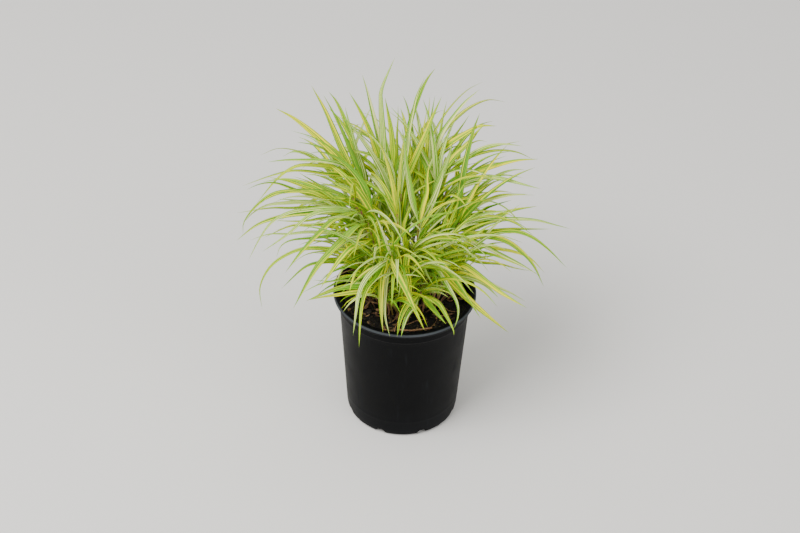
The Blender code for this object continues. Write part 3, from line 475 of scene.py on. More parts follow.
class Value:
    """A number socket in an expression: each operator adds the Math node of its name."""

    def __init__(self, paint, socket):
        self.paint = paint
        self.socket = socket

    def math(self, operation, *terms):
        node = self.paint.node("ShaderNodeMath", {"operation": operation}, dict(enumerate(terms)))
        return Value(self.paint, node.outputs[0])

    def __add__(self, other):
        return self.math("ADD", self, other)

    __radd__ = __add__

    def __sub__(self, other):
        return self.math("SUBTRACT", self, other)

    def __rsub__(self, other):
        return self.math("SUBTRACT", other, self)

    def __mul__(self, other):
        return self.math("MULTIPLY", self, other)

    __rmul__ = __mul__

    def __abs__(self):
        return self.math("ABSOLUTE", self)

    def most(self, other):
        return self.math("MAXIMUM", self, other)

    def least(self, other):
        return self.math("MINIMUM", self, other)

    def rise(self, low, high):
        """0 below low, 1 above high and a soft step between."""
        node = self.paint.node("ShaderNodeMapRange", {"interpolation_type": "SMOOTHSTEP"},
                               {0: self, 1: low, 2: high, 3: 0.0, 4: 1.0})
        return Value(self.paint, node.outputs[0])


class Paint:
    """A material and the one way its nodes are added."""

    def __init__(self, name):
        self.material = bpy.data.materials.new(name)
        self.material.use_nodes = True
        self.tree = self.material.node_tree
        self.shader = self.tree.nodes["Principled BSDF"]

    def node(self, kind, settings, values):
        """Adds a node: its settings first, then its sockets by name or number, as values or links."""
        made = self.tree.nodes.new(kind)
        for key, value in settings.items():
            setattr(made, key, value)
        self.feed(made, values)
        return made

    def feed(self, made, values):
        for key, value in values.items():
            socket = made.inputs[key]
            source = value.socket if isinstance(value, Value) else value
            if isinstance(source, bpy.types.NodeSocket):
                self.tree.links.new(source, socket)
            else:
                opaque = socket.type == "RGBA" and len(source) == 3
                socket.default_value = (*source, 1.0) if opaque else source

    def mix(self, share, first, second):
        """One colour turning into another."""
        node = self.node("ShaderNodeMix", {"data_type": "RGBA"}, {0: share, 6: first, 7: second})
        return node.outputs[2]

    def noise(self, vector, scale, detail=2.0, roughness=0.5):
        node = self.node("ShaderNodeTexNoise", {}, {"Vector": vector, "Scale": scale, "Detail": detail,
                                                    "Roughness": roughness})
        return Value(self, node.outputs[0])

    def place(self):
        return self.node("ShaderNodeTexCoord", {}, {}).outputs["Object"]

    def point(self, x, y, z):
        return self.node("ShaderNodeCombineXYZ", {}, {0: x, 1: y, 2: z}).outputs[0]

    def parts(self, vector):
        node = self.node("ShaderNodeSeparateXYZ", {}, {0: vector})
        return [Value(self, output) for output in node.outputs]

    def habit(self):
        """The three shares that each vertex carries."""
        node = self.node("ShaderNodeAttribute", {"attribute_name": "habit"}, {})
        return self.parts(node.outputs["Vector"])

    def across_along(self):
        node = self.node("ShaderNodeUVMap", {"uv_map": "blade"}, {})
        return self.parts(node.outputs[0])[:2]

    def bump(self, height, strength, distance):
        node = self.node("ShaderNodeBump", {}, {"Strength": strength, "Distance": distance, "Height": height})
        return node.outputs[0]

    def finish(self, **values):
        self.feed(self.shader, {key.replace("_", " "): value for key, value in values.items()})
        return self.material


def shaded(colour, share):
    """A colour with each of its channels times a share."""
    return [share * channel for channel in colour]


def blade_paint(grass):
    """Lengthwise stripes: coarse and fine bands across the blade, greener at its edges and its point.

    Green shows where the summed noise is over a level that falls with the blade's share of green, at the
    edges, at the point, at the root and on one line near the midrib. Elsewhere a blade is yellow or cream by
    its share of cream.
    """
    paint = Paint("striped_blade")
    across, along = paint.across_along()
    seed, green, cream = paint.habit()
    coarse = paint.noise(paint.point(across * 6.4 + seed * 31, along * 0.42, seed * 9), 1.0, 0.0)
    fine = paint.noise(paint.point(across * 14 + seed * 57, along * 0.9, seed * 23), 1.0, 1.0)
    hair = paint.noise(paint.point(across * 38 + seed * 83, along * 1.6, seed * 41), 1.0, 1.0)
    streak = coarse * 0.52 + fine * 0.34 + hair * 0.14
    vein = paint.noise(paint.point(across * 7.5 + seed * 71, along * 0.5, seed * 61), 1.0, 1.0)
    rim = abs(across * 2 - 1)
    level = 0.530 - green * 0.12
    stripes = (streak - level).rise(-0.010, 0.010)
    edge = (rim + (fine - 0.5) * 0.5).rise(0.68, 0.90) * (0.70 + green * 0.30)
    point = (along + (coarse - 0.5) * 0.5).rise(0.72, 1.0)
    root = (1 - along.rise(0.0, 0.16)) * 0.35
    line = (0.075 - abs(across - (0.36 + seed * 0.28))).rise(0.0, 0.025) * (1 - along.rise(0.9, 1.0))
    mask = stripes.most(edge).most(point).most(root).most(line)
    pale_share = (cream + (fine - 0.5) * 1.3).rise(0.25, 0.75)
    pale = paint.mix(pale_share, grass.yellow, grass.cream)
    depth = ((vein - 0.5) * 2.4 + 0.34 + green * 0.34).rise(0.0, 1.0)
    deep = paint.mix(depth, grass.lime, grass.green)
    leaf = paint.mix(mask, pale, deep)
    # Painted shade: darker, duller blotches laid through space over all the leaves, as shade inside the crown
    cloud = paint.noise(paint.place(), 38.0, 3.0)
    shade = paint.mix((cloud - 0.28).rise(0.0, 0.36), shaded(LEAF_SHADE_TINT, 0.66), leaf)
    tinted = paint.mix(0.86, shade, leaf)
    dried = paint.mix(along.rise(0.955, 1.0) * seed.rise(0.45, 0.6) * 0.8, tinted, DRY_POINT)
    ribs = paint.noise(paint.point(across * 60, along * 1.2, seed * 50), 1.0, 1.0)
    return paint.finish(Base_Color=dried, Roughness=0.46 + ribs * 0.16, Normal=paint.bump(ribs, 0.5, 0.00025),
                        Subsurface_Weight=0.22, Subsurface_Radius=(0.7, 1.0, 0.25), Subsurface_Scale=0.0016,
                        Specular_IOR_Level=0.14)


def culm_paint(grass):
    """Straw green between the nodes, blushing to a red brown at them and towards the foot."""
    paint = Paint("jointed_culm")
    _, ring, height = paint.habit()
    wash = paint.noise(paint.place(), 130.0, 2.0)
    warm = (ring * 0.95).most((1 - height).rise(0.25, 0.95) * 0.75 * (wash + 0.35))
    colour = paint.mix(warm.least(1.0), grass.culm, grass.blush)
    ribs = paint.noise(paint.place(), 900.0, 1.0)
    return paint.finish(Base_Color=colour, Roughness=0.42 + wash * 0.15,
                        Normal=paint.bump(ribs, 0.35, 0.0002),
                        Subsurface_Weight=0.1, Subsurface_Radius=(1.0, 0.6, 0.3), Subsurface_Scale=0.001)


def pot_paint(pot):
    """Black moulded plastic: a painted highlight along the lip's outer roll, a film of dust, fine upright
    drag lines and small scuffs.
    """
    paint = Paint("black_moulded_plastic")
    place = paint.place()
    x, y, z = paint.parts(place)
    film = paint.noise(place, 34.0, 4.0, 0.6)
    drag = paint.noise(paint.point(x * 210, y * 210, z * 9), 1.0, 2.0)
    fleck = paint.noise(place, 620.0, 1.0)
    scuff = (drag - 0.58).rise(0.0, 0.16) * (film - 0.42).rise(0.0, 0.22)
    specks = (fleck - 0.69).rise(0.0, 0.05)
    square = x * x + y * y
    radius = square.math("SQRT", square)
    # Painted highlight: a thin paler band on the outer top of the lip's roll, standing in for the sky's
    # reflection
    outer = radius.rise(LIP_RADIUS - 0.0019, LIP_RADIUS - 0.0009)
    lip = z.rise(POT_HEIGHT - LIP_HEIGHT * 0.52, POT_HEIGHT - LIP_HEIGHT * 0.38) * outer
    low = (1 - z.rise(0.0, 0.05)) * film
    film_share = (scuff * 0.42 + specks * 0.25 + low * 0.35).least(1.0)
    dusty = paint.mix(film_share, pot.plastic, pot.dust)
    # The lip colour mixed in here is the painted highlight, stronger where the film is
    colour = paint.mix(lip * (0.30 + film * 0.75), dusty, pot.lip_highlight)
    grain = paint.noise(place, 1500.0, 2.0)
    return paint.finish(Base_Color=colour, Roughness=0.36 + film * 0.22 + scuff * 0.15,
                        Normal=paint.bump(grain * 0.6 + drag * 0.4, 0.35, 0.0003), Specular_IOR_Level=0.06)


def mix_paint(mix):
    """Damp peat: near black crumbs with brown and tawny specks."""
    paint = Paint("damp_peat")
    place = paint.place()
    clods = paint.noise(place, 150.0, 4.0, 0.65)
    grit = paint.noise(place, 620.0, 3.0, 0.7)
    brown = (clods - 0.50).rise(0.0, 0.16) * 0.55
    tawny = (grit - 0.64).rise(0.0, 0.06)
    base = paint.mix(brown, mix.dark, shaded(mix.bark, 0.28))
    colour = paint.mix(tawny * 0.35, base, mix.bark)
    return paint.finish(Base_Color=colour, Roughness=0.78 + clods * 0.2,
                        Normal=paint.bump(clods * 0.5 + grit * 0.5, 0.9, 0.0009), Specular_IOR_Level=0.35)


def chip_paint(mix):
    """Bark and wood chips: each its own brown, with a grain and dark damp patches."""
    paint = Paint("bark_chips")
    place = paint.place()
    seed, pale, _ = paint.habit()
    grain = paint.noise(place, 480.0, 3.0, 0.6)
    damp = paint.noise(place, 120.0, 2.0)
    wood = paint.mix(pale, shaded(mix.bark, 0.35), mix.tan)
    dark = (0.42 - grain).rise(0.0, 0.12).most((damp - 0.45).rise(0.0, 0.2) * (1 - pale) * 0.8)
    colour = paint.mix(dark * 0.8, wood, shaded(mix.dark, 1.5))
    return paint.finish(Base_Color=colour, Roughness=0.66 + grain * 0.25 + seed * 0.05,
                        Normal=paint.bump(grain, 0.8, 0.0006))


def straw_paint(mix):
    """Dry culms: tan to pinkish brown, darker where they are old and damp."""
    paint = Paint("dry_straw")
    place = paint.place()
    seed, pale, along = paint.habit()
    grain = paint.noise(place, 700.0, 2.0)
    tan = paint.mix(pale, shaded(mix.straw, 0.42), mix.straw)
    colour = paint.mix((grain - 0.45).rise(0.0, 0.25) * 0.5, tan, shaded(mix.dark, 2.5))
    return paint.finish(Base_Color=colour, Roughness=0.60 + grain * 0.2 + seed * 0.05 + along * 0.02,
                        Normal=paint.bump(grain, 0.5, 0.0003))


def floor_paint(stage):
    """A plain pale floor with the faintest cloud in it."""
    paint = Paint("pale_floor")
    cloud = paint.noise(paint.place(), 3.0, 2.0)
    colour = paint.mix(cloud, stage.floor, shaded(stage.floor, 0.97))
    return paint.finish(Base_Color=colour, Roughness=0.9)


def unit(vectors):
    return vectors / np.linalg.norm(vectors, axis=-1, keepdims=True)


def facing_out(points, faces):
    """The faces, all turned round if they enclose a negative volume."""
    corners = np.array([points[face[0]] for face in faces])
    seconds = np.array([points[face[1]] for face in faces])
    thirds = np.array([points[face[2]] for face in faces])
    if np.einsum("ij,ij->", corners, np.cross(seconds, thirds)) < 0:
        return [face[::-1] for face in faces]
    return faces


def turned_rings(profile, sides):
    """A profile of (radius, height) pairs turned about the axis, as rings of points."""
    angles = np.arange(sides) * TAU / sides
    radii, heights = np.array(profile).T
    return np.stack([radii[:, None] * np.cos(angles), radii[:, None] * np.sin(angles),
                     np.broadcast_to(heights[:, None], (len(radii), sides))], axis=-1)


def turned(profile, sides):
    """A closed solid turned from (radius, height) pairs that start and end on the axis."""
    rings = turned_rings(profile[1:-1], sides)
    points = np.vstack([[0, 0, profile[0][1]], rings.reshape(-1, 3), [0, 0, profile[-1][1]]])
    last = len(points) - 1
    faces = []
    for i in range(sides):
        j = (i + 1) % sides
        faces.append((0, 1 + j, 1 + i))
        for k in range(len(rings) - 1):
            low = 1 + k * sides
            high = low + sides
            faces.append((low + i, low + j, high + j, high + i))
        top = 1 + (len(rings) - 1) * sides
        faces.append((top + i, top + j, last))
    return points, facing_out(points, faces)


def arc(centre, radius, start, end, steps):
    """Points of an arc in the (radius, height) plane, angles in degrees."""
    turns = np.radians(np.linspace(start, end, steps + 1))
    return [(centre[0] + radius * math.cos(a), centre[1] + radius * math.sin(a)) for a in turns]


def wall_radius(height):
    """Outer radius of the tapered wall at a height."""
    return FOOT_RADIUS + (WALL_TOP_RADIUS - FOOT_RADIUS) * height / (POT_HEIGHT - COLLAR_HEIGHT)


def frame_pot():
    """The frame's shell before its drain holes, for the tests of a clear way."""
    collar = POT_HEIGHT - COLLAR_HEIGHT
    lip = POT_HEIGHT - LIP_HEIGHT
    roll = LIP_HEIGHT / 3
    inner_top = WALL_TOP_RADIUS
    outer = [(0, 0)] + arc((FOOT_RADIUS - CORNER, CORNER), CORNER, -90, 0, 3)
    outer += [(wall_radius(collar), collar), (COLLAR_RADIUS, collar + 0.0012), (COLLAR_RADIUS, lip - 0.001)]
    outer += [(LIP_RADIUS, lip), (LIP_RADIUS, POT_HEIGHT - roll), (LIP_RADIUS - roll, POT_HEIGHT)]
    inner = [(inner_top + roll, POT_HEIGHT), (inner_top, POT_HEIGHT - roll), (inner_top, collar + 0.001)]
    inner += [(wall_radius(collar) - WALL, collar - 0.001)]
    inner += [(wall_radius(INNER_CORNER_HEIGHT) - WALL, INNER_CORNER_HEIGHT)]
    inner += [(FOOT_RADIUS - WALL - INNER_CORNER_WIDTH, FLOOR), (0, FLOOR)]
    return turned(outer + inner, POT_SIDES)


def mix_height(x, y):
    """The top of the mix: low bumps from three crossing waves, gone at the wall."""
    wave = np.sin(210 * x + 1.1) * np.cos(185 * y) + 0.7 * np.sin(330 * y - 150 * x)
    wave = wave + 0.5 * np.cos(420 * x + 260 * y)
    fade = np.clip((wall_radius(MIX_TOP) - np.hypot(x, y)) / 0.02, 0, 1)
    return MIX_TOP + MIX_BUMP * wave * fade


def mix_radii():
    """Outer radii of the plug of mix at its top and just over its foot."""
    top = wall_radius(MIX_TOP) - WALL - CLEARANCE - MIX_TOP_GAP
    return top, wall_radius(MIX_FOOT_HEIGHT) - WALL - CLEARANCE - MIX_FOOT_GAP


def frame_mix():
    """The frame's plug of mix before its holes, for the tests of a clear way."""
    top_radius, foot_radius = mix_radii()
    rings = [top_radius * k / MIX_RINGS for k in range(MIX_RINGS - 1, 0, -1)]
    profile = [(0, FLOOR + CLEARANCE), (foot_radius - MIX_CHAMFER, FLOOR + CLEARANCE)]
    profile += [(foot_radius, MIX_FOOT_HEIGHT), (top_radius, MIX_TOP)]
    profile += [(r, MIX_TOP) for r in rings] + [(0, MIX_TOP)]
    points, faces = turned(profile, MIX_SIDES)
    on_top = points[:, 2] > MIX_TOP - 1e-6
    points[on_top, 2] = mix_height(points[on_top, 0], points[on_top, 1])
    return points, faces


def photo_point(pixel, depth):
    """The point seen at a pixel of the photograph, depth metres behind the pot's axis."""
    forward = np.array([0.0, math.cos(VIEW_ELEVATION), -math.sin(VIEW_ELEVATION)])
    up = np.array([0.0, math.sin(VIEW_ELEVATION), math.cos(VIEW_ELEVATION)])
    eye = VIEW_TARGET - VIEW_DISTANCE * forward
    dx = pixel[0] - CENTRE_PX[0]
    dy = pixel[1] - CENTRE_PX[1]
    right_px = dx * math.cos(VIEW_ROLL) + dy * math.sin(VIEW_ROLL)
    down_px = dy * math.cos(VIEW_ROLL) - dx * math.sin(VIEW_ROLL)
    ray = FOCAL_PX * forward + right_px * np.array([1.0, 0.0, 0.0]) - down_px * up
    return eye + ray * (depth - eye[1]) / ray[1]


def curve_through(points, fractions):
    """Points at these fractions of the length of a smooth curve through the given ones."""
    p = np.asarray(points, float)
    p = np.vstack([2 * p[0] - p[1], p, 2 * p[-1] - p[-2]])
    u = np.linspace(0, 1, 9)[:, None]
    spans = []
    for a, b, c, d in zip(p, p[1:], p[2:], p[3:]):
        spans.append(b + 0.5 * u * (c - a + u * (2 * a - 5 * b + 4 * c - d + u * (3 * b - a - 3 * c + d))))
    dense = np.vstack(spans)
    along = np.concatenate([[0], np.cumsum(np.linalg.norm(np.diff(dense, axis=0), axis=1))])
    wanted = np.asarray(fractions) * along[-1]
    return np.stack([np.interp(wanted, along, dense[:, k]) for k in range(3)], axis=1)


def across_of(tangents, facing, twist):
    """Width directions along a blade that keep one side to the facing direction, and turn by the twist."""
    found = []
    for tangent in tangents:
        side = np.cross(tangent, facing)
        if found:
            kept = found[-1] - tangent * np.dot(found[-1], tangent)
            side = side if np.dot(side, kept) > 0 else -side
            side = kept if np.linalg.norm(side) < 0.3 else side
        found.append(side / np.linalg.norm(side))
    found = np.array(found)
    turn = np.linspace(0, twist, len(found))[:, None]
    return unit(found * np.cos(turn) + np.cross(tangents, found) * np.sin(turn))


def blade_width(along):
    """Share of the full width: a narrow root, the widest third, and a long point."""
    root = np.clip(along / 0.26, 0, 1)
    return (ROOT_SHARE + (1 - ROOT_SHARE) * root * root * (3 - 2 * root)) * (1 - along**1.9)


def blade_solid(path, width, facing, twist, grow=0.0):
    """A three-sided blade: two edges and a keel under the middle, closed at the root, pointed at the tip."""
    stations = np.array(BLADE_STATIONS)
    centres = curve_through(path, stations)
    tangents = unit(np.gradient(centres, axis=0))
    across = across_of(tangents, facing, twist)
    up = unit(np.cross(across, tangents))
    half = 0.5 * width * blade_width(stations)[:, None] + grow
    keel = BLADE_THICKNESS + grow
    rings = np.stack([centres - across * half + up * grow, centres + across * half + up * grow,
                      centres - up * keel], axis=1)[:-1]
    points = np.vstack([rings.reshape(-1, 3), centres[-1]])
    tip = len(points) - 1
    faces = [(0, 2, 1)]
    for i in range(len(rings) - 1):
        left, right, under = 3 * i, 3 * i + 1, 3 * i + 2
        left_on, right_on, under_on = left + 3, right + 3, under + 3
        rises = np.dot(up[i], points[right_on] - points[left_on]) > 0
        if rises:
            faces += [(left, right, right_on), (left, right_on, left_on)]
        else:
            faces += [(left, right, left_on), (right, right_on, left_on)]
        faces += [(right, under, under_on), (right, under_on, right_on)]
        faces += [(under, left, left_on), (under, left_on, under_on)]
    faces += [(left_on, right_on, tip), (right_on, under_on, tip), (under_on, left_on, tip)]
    return points, facing_out(points, faces)


def culm_centres(foot, top):
    """Centres along a culm: upright in its hole, then bowed out to its top."""
    ground = np.array([foot[0], foot[1], MIX_TOP])
    low = ground - [0, 0, HOLE_DEPTH - HOLE_GAP]
    stand = ground + [0, 0, CULM_STAND]
    knee = stand + (top - stand) * CULM_KNEE
    t = np.array(CULM_STATIONS)[:, None]
    bow = (1 - t) ** 2 * stand + 2 * t * (1 - t) * knee + t * t * top
    return np.vstack([low, bow])


def culm_point(centres, at):
    """The point at a share of the culm's way from the mix to its top."""
    spot = at * (len(centres) - 2)
    steps = np.arange(len(centres) - 1)
    return np.array([np.interp(spot, steps, centres[1:, k]) for k in range(3)])


def round_rings(centres, radii, across, beside, around):
    """Rings of a round profile: each centre plus its radius times the cosine across and the sine beside."""
    angles = np.arange(around) * TAU / around
    return centres[:, None] + radii[:, None, None] * (
        across[:, None] * np.cos(angles)[None, :, None] + beside[:, None] * np.sin(angles)[None, :, None])


def culm_solid(centres, grow=0.0):
    """A thin closed tube along the culm, a little narrower at its top."""
    tangents = unit(np.gradient(centres, axis=0))
    tangents[:2] = (0, 0, 1)
    across = unit(np.cross(tangents, CULM_BESIDE))
    beside = np.cross(tangents, across)
    radii = np.linspace(CULM_RADIUS, CULM_TIP_RADIUS, len(centres)) + grow
    points = round_rings(centres, radii, across, beside, CULM_SIDES).reshape(-1, 3)
    faces = [tuple(range(CULM_SIDES)), tuple(range(len(points) - 1, len(points) - 1 - CULM_SIDES, -1))]
    for k in range(len(centres) - 1):
        for i in range(CULM_SIDES):
            j = (i + 1) % CULM_SIDES
            low = k * CULM_SIDES
            high = low + CULM_SIDES
            faces.append((low + j, low + i, high + i))
            faces.append((low + j, high + i, high + j))
    return points, facing_out(points, faces)


def tree_of(solid):
    return BVHTree.FromPolygons([tuple(point) for point in solid[0]], solid[1])


def clear_of(solid, trees):
    """Whether a solid's surface meets none of the trees'."""
    own = tree_of(solid)
    return not any(own.overlap(tree) for tree in trees)


def picked_culm(stem, others):
    """The culm of a picked stem, its top nearer or further until it is clear of the others."""
    foot = np.array(stem.foot) * MM
    for shift in DEPTH_SHIFTS:
        top = photo_point(stem.top, (stem.depth + shift) * MM)
        centres = culm_centres(foot, top)
        if clear_of(culm_solid(centres, BLADE_GAP), others):
            return centres
    return None


def picked_paths(blade, centres):
    """Candidate paths of a picked blade: the same pixels, with the tip nearer or further."""
    base = culm_point(centres, blade.at)
    spans = np.linalg.norm(np.diff(np.array(blade.pixels, float), axis=0), axis=1)
    first = spans.mean()
    share = np.concatenate([[first], first + np.cumsum(spans)])
    share /= share[-1]
    for shift in DEPTH_SHIFTS:
        reach = (blade.depth + shift) * MM - base[1]
        yield [base] + [photo_point(pixel, base[1] + reach * s) for pixel, s in zip(blade.pixels, share)]


def grown_culm(rng, foot, others):
    """A culm by the rule: it leans out more the further its foot is from the middle, and is short in front.

    The rule's numbers here and in the two functions after it are the frame's own.
    """
    for _ in range(DRAWS):
        radius = np.hypot(*foot) / CROWN_RADIUS
        heading = math.atan2(foot[1], foot[0]) + rng.normal(0, 0.35)
        lean = math.radians(5 + 38 * radius + rng.normal(0, 4))
        behind = foot[1] > 0
        length = rng.uniform(0.085, 0.150) if behind else rng.uniform(0.050, 0.085)
        out = np.array([math.cos(heading), math.sin(heading)]) * math.sin(lean)
        top = np.array([foot[0], foot[1], MIX_TOP + CULM_STAND]) + length * np.array([*out, math.cos(lean)])
        centres = culm_centres(foot, top)
        if clear_of(culm_solid(centres, BLADE_GAP), others):
            return centres, heading, behind
    return None


def arched(base, away, rise, bend, length, spans, power):
    """A path in one heading whose slope falls from the rise by the bend times the way along to a power."""
    slopes = rise - bend * np.linspace(0, 1, spans) ** power
    flat = np.cos(slopes)
    steps = np.stack([flat * math.cos(away), flat * math.sin(away), np.sin(slopes)], axis=1)
    return np.vstack([base, base + np.cumsum(steps * length / spans, axis=0)])


def grown_paths(rng, centres, heading, behind, at, side):
    """Candidate paths of a blade by the rule: it leaves the culm steeply, on alternate sides, and arches."""
    base = culm_point(centres, at)
    for _ in range(DRAWS):
        away = heading + side * rng.uniform(0.15, 1.25)
        length = rng.uniform(0.105, 0.165) if behind else rng.uniform(0.050, 0.085)
        rise = math.radians(rng.uniform(48, 78))
        bend = math.radians(rng.uniform(55, 105))
        yield arched(base, away, rise, bend, length, 5, 1.2)


def grow_blade(paths, width, facing, twist, own, others):
    """The solid and path of the first try that clears other stems and, if it can, its own stem's blades."""
    fallback = None
    for path in paths:
        if min(point[2] for point in path) < LOWEST_LEAF:
            continue
        if not clear_of(blade_solid(path, width, facing, twist, BLADE_GAP), others):
            continue
        solid = blade_solid(path, width, facing, twist)
        outer = (solid[0], [face for face in solid[1] if min(face) > 2])
        if clear_of(outer, own):
            return solid, path
        fallback = fallback or (solid, path)
    return fallback


def crown_spots(taken):
    """Feet of the grown stems: an even spiral over the crown that leaves out spots near picked feet."""
    spots = []
    for i in range(CROWN_SPOTS):
        radius = CROWN_RADIUS * math.sqrt((i + 0.5) / CROWN_SPOTS)
        angle = i * math.pi * (3 - math.sqrt(5))
        spot = np.array([radius * math.cos(angle), radius * math.sin(angle)])
        if all(np.hypot(*(spot - other)) > LEAST_SPACING for other in taken + spots):
            spots.append(spot)
    return spots


def lattice_noise(x, y, size, seed):
    """Smooth noise from 0 to 1: random values on a square lattice, blended between the nearest four."""
    corners = np.random.default_rng(seed).random((256, 256))
    u = x / size
    v = y / size
    i = np.floor(u).astype(int)
    j = np.floor(v).astype(int)
    s = u - i
    t = v - j
    s = s * s * (3 - 2 * s)
    t = t * t * (3 - 2 * t)
    low = corners[i % 256, j % 256] * (1 - s) + corners[(i + 1) % 256, j % 256] * s
    high = corners[i % 256, (j + 1) % 256] * (1 - s) + corners[(i + 1) % 256, (j + 1) % 256] * s
    return low * (1 - t) + high * t


def carried(rings, first, second, third):
    """The three shares of each point of the rings, from numbers or one value for each ring."""
    return np.stack([np.broadcast_to(share, rings.shape[:2]) for share in (first, second, third)], axis=-1)


def tube_patch(rings, habit=None, across_along=None, material=0, pointed=False):
    """Rings of points (stations, round, 3) joined into a closed skin that faces out.

    The first ring is capped with one face. The last is capped too, or its first point closes the skin. The
    habit and the ways across and along are 0 where they aren't given.
    """
    habit = np.zeros(rings.shape) if habit is None else habit
    across_along = np.zeros((*rings.shape[:2], 2)) if across_along is None else across_along
    stations, around = rings.shape[:2]
    index = np.arange(stations * around).reshape(stations, around)
    kept = stations * around
    if pointed:
        index[-1] = index[-1, 0]
        kept = index[-1, 0] + 1
    low, high = index[:-1], index[1:]
    quads = np.stack([low, np.roll(low, -1, axis=1), np.roll(high, -1, axis=1), high], axis=-1).reshape(-1, 4)
    points = rings.reshape(-1, 3)[:kept]
    if pointed:
        groups = [quads[:-around], quads[-around:, :3], index[:1, ::-1]]
    else:
        groups = [quads, index[-1:], index[:1, ::-1]]
    a, b, c, d = ((points - points.mean(axis=0))[quads[:, k]] for k in range(4))
    if np.sum(a * (np.cross(b, c) + np.cross(c, d))) < 0:
        groups = [group[:, ::-1] for group in groups]
    corners = np.concatenate([group.ravel() for group in groups])
    sizes = np.concatenate([np.full(len(group), group.shape[1]) for group in groups])
    ways = across_along.reshape(-1, 2)[:kept]
    return Patch(points, corners, sizes, ways, habit.reshape(-1, 3)[:kept], material)


def mesh_of(name, patches):
    """One mesh from patches, with the values across and along and the habit of each of their points."""
    starts = np.cumsum([0] + [len(patch.points) for patch in patches[:-1]])
    points = np.vstack([patch.points for patch in patches])
    corners = np.concatenate([patch.corners + start for patch, start in zip(patches, starts)])
    sizes = np.concatenate([patch.sizes for patch in patches])
    numbers = np.repeat([patch.material for patch in patches], [len(patch.sizes) for patch in patches])
    across_along = np.vstack([patch.across_along for patch in patches])
    habits = np.vstack([patch.habit for patch in patches])
    mesh = bpy.data.meshes.new(name)
    mesh.vertices.add(len(points))
    mesh.vertices.foreach_set("co", points.astype(np.float32).ravel())
    mesh.loops.add(len(corners))
    mesh.loops.foreach_set("vertex_index", corners.astype(np.int32))
    mesh.polygons.add(len(sizes))
    mesh.polygons.foreach_set("loop_start", (np.cumsum(sizes) - sizes).astype(np.int32))
    mesh.polygons.foreach_set("material_index", numbers.astype(np.int32))
    mesh.update(calc_edges=True)
    layer = mesh.uv_layers.new(name="blade")
    layer.uv.foreach_set("vector", across_along[corners].astype(np.float32).ravel())
    shares = mesh.attributes.new("habit", "FLOAT_VECTOR", "POINT")
    shares.data.foreach_set("vector", habits.astype(np.float32).ravel())
    mesh.shade_smooth()
    return mesh


def added(name, data):
    """A new object of the scene, at the origin, that shows a mesh, a light or a camera."""
    item = bpy.data.objects.new(name, data)
    bpy.context.scene.collection.objects.link(item)
    return item


def build(name, patches, materials, replaced=()):
    """A piece that rides on the frame and may stand for nodes of the frame."""
    mesh = mesh_of(name, patches)
    for material in materials:
        mesh.materials.append(material)
    piece = added(name, mesh)
    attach(piece, "root")
    if replaced:
        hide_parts(*replaced)
    return piece


def along_wall(low, high, steps):
    """Points up the outside of the wall between two heights."""
    return [(wall_radius(z), z) for z in np.linspace(low, high, steps)]


def shell_outline():
    """The shell's outline from the middle of the foot: round corner, tapered wall, collar, lip, inside."""
    collar = POT_HEIGHT - COLLAR_HEIGHT
    lip = POT_HEIGHT - LIP_HEIGHT
    roll = LIP_HEIGHT / 2
    inner_top = WALL_TOP_RADIUS
    outer = list(FOOT_OUTLINE)
    outer += arc((FOOT_RADIUS - CORNER, CORNER), CORNER, -90, -8, 9)
    outer += along_wall(0.0075, 0.0215, 6)
    outer += [(wall_radius(z) + BEAD_RISE, z) for z in BEAD_HEIGHTS]
    outer += along_wall(0.0245, collar - 0.0012, 24)
    outer += [(WALL_TOP_RADIUS + 0.0002, collar - 0.0003)]
    outer += arc((COLLAR_RADIUS - 0.0008, collar + 0.0014), 0.0008, -60, 0, 4)
    outer += [(COLLAR_RADIUS, z) for z in np.linspace(collar + 0.003, lip - 0.0022, 5)]
    outer += arc((COLLAR_RADIUS + 0.0014, lip - 0.0016), 0.0014, 180, 90, 4)
    outer += arc((LIP_RADIUS - roll, POT_HEIGHT - roll), roll, -80, 90, 14)
    inner = arc((inner_top + 0.0022, POT_HEIGHT - 0.0022), 0.0022, 90, 180, 6)
    inner += [(inner_top, z) for z in np.linspace(POT_HEIGHT - 0.004, collar + 0.002, 5)]
    inner += [(wall_radius(z) - WALL, z) for z in np.linspace(collar - 0.001, INNER_CORNER_HEIGHT, 16)]
    inner += [(FOOT_RADIUS - WALL - INNER_CORNER_WIDTH, FLOOR), (POLE_RADIUS, FLOOR)]
    return outer + inner


def drain_plugs():
    """Round plugs that point out and down through the foot's corner, in one mesh."""
    rings = turned_rings([(DRAIN_RADIUS, -PLUG_REACH), (DRAIN_RADIUS, PLUG_REACH)], PLUG_SIDES)
    patches = []
    for angle in (np.arange(DRAIN_HOLES) + 0.5) * TAU / DRAIN_HOLES:
        reach = FOOT_RADIUS - 0.002
        turn = Matrix.Rotation(angle, 3, "Z") @ Matrix.Rotation(PLUG_TILT, 3, "Y")
        spot = np.array([reach * math.cos(angle), reach * math.sin(angle), 0.001])
        placed = rings @ np.array(turn).T + spot
        patches.append(tube_patch(placed))
    return added("drain_plugs", mesh_of("drain_plugs", patches))


def cut_and_keep(piece, cutter):
    """Cuts the plugs out of a piece, keeps the result as the piece's mesh and removes the plugs."""
    cut = piece.modifiers.new("drain_holes", "BOOLEAN")
    cut.operation = "DIFFERENCE"
    cut.object = cutter
    cut.solver = "EXACT"
    graph = bpy.context.evaluated_depsgraph_get()
    done = bpy.data.meshes.new_from_object(piece.evaluated_get(graph))
    piece.modifiers.clear()
    piece.data = done
    bpy.data.objects.remove(cutter)
    done.set_sharp_from_angle(angle=SHARP_ANGLE)


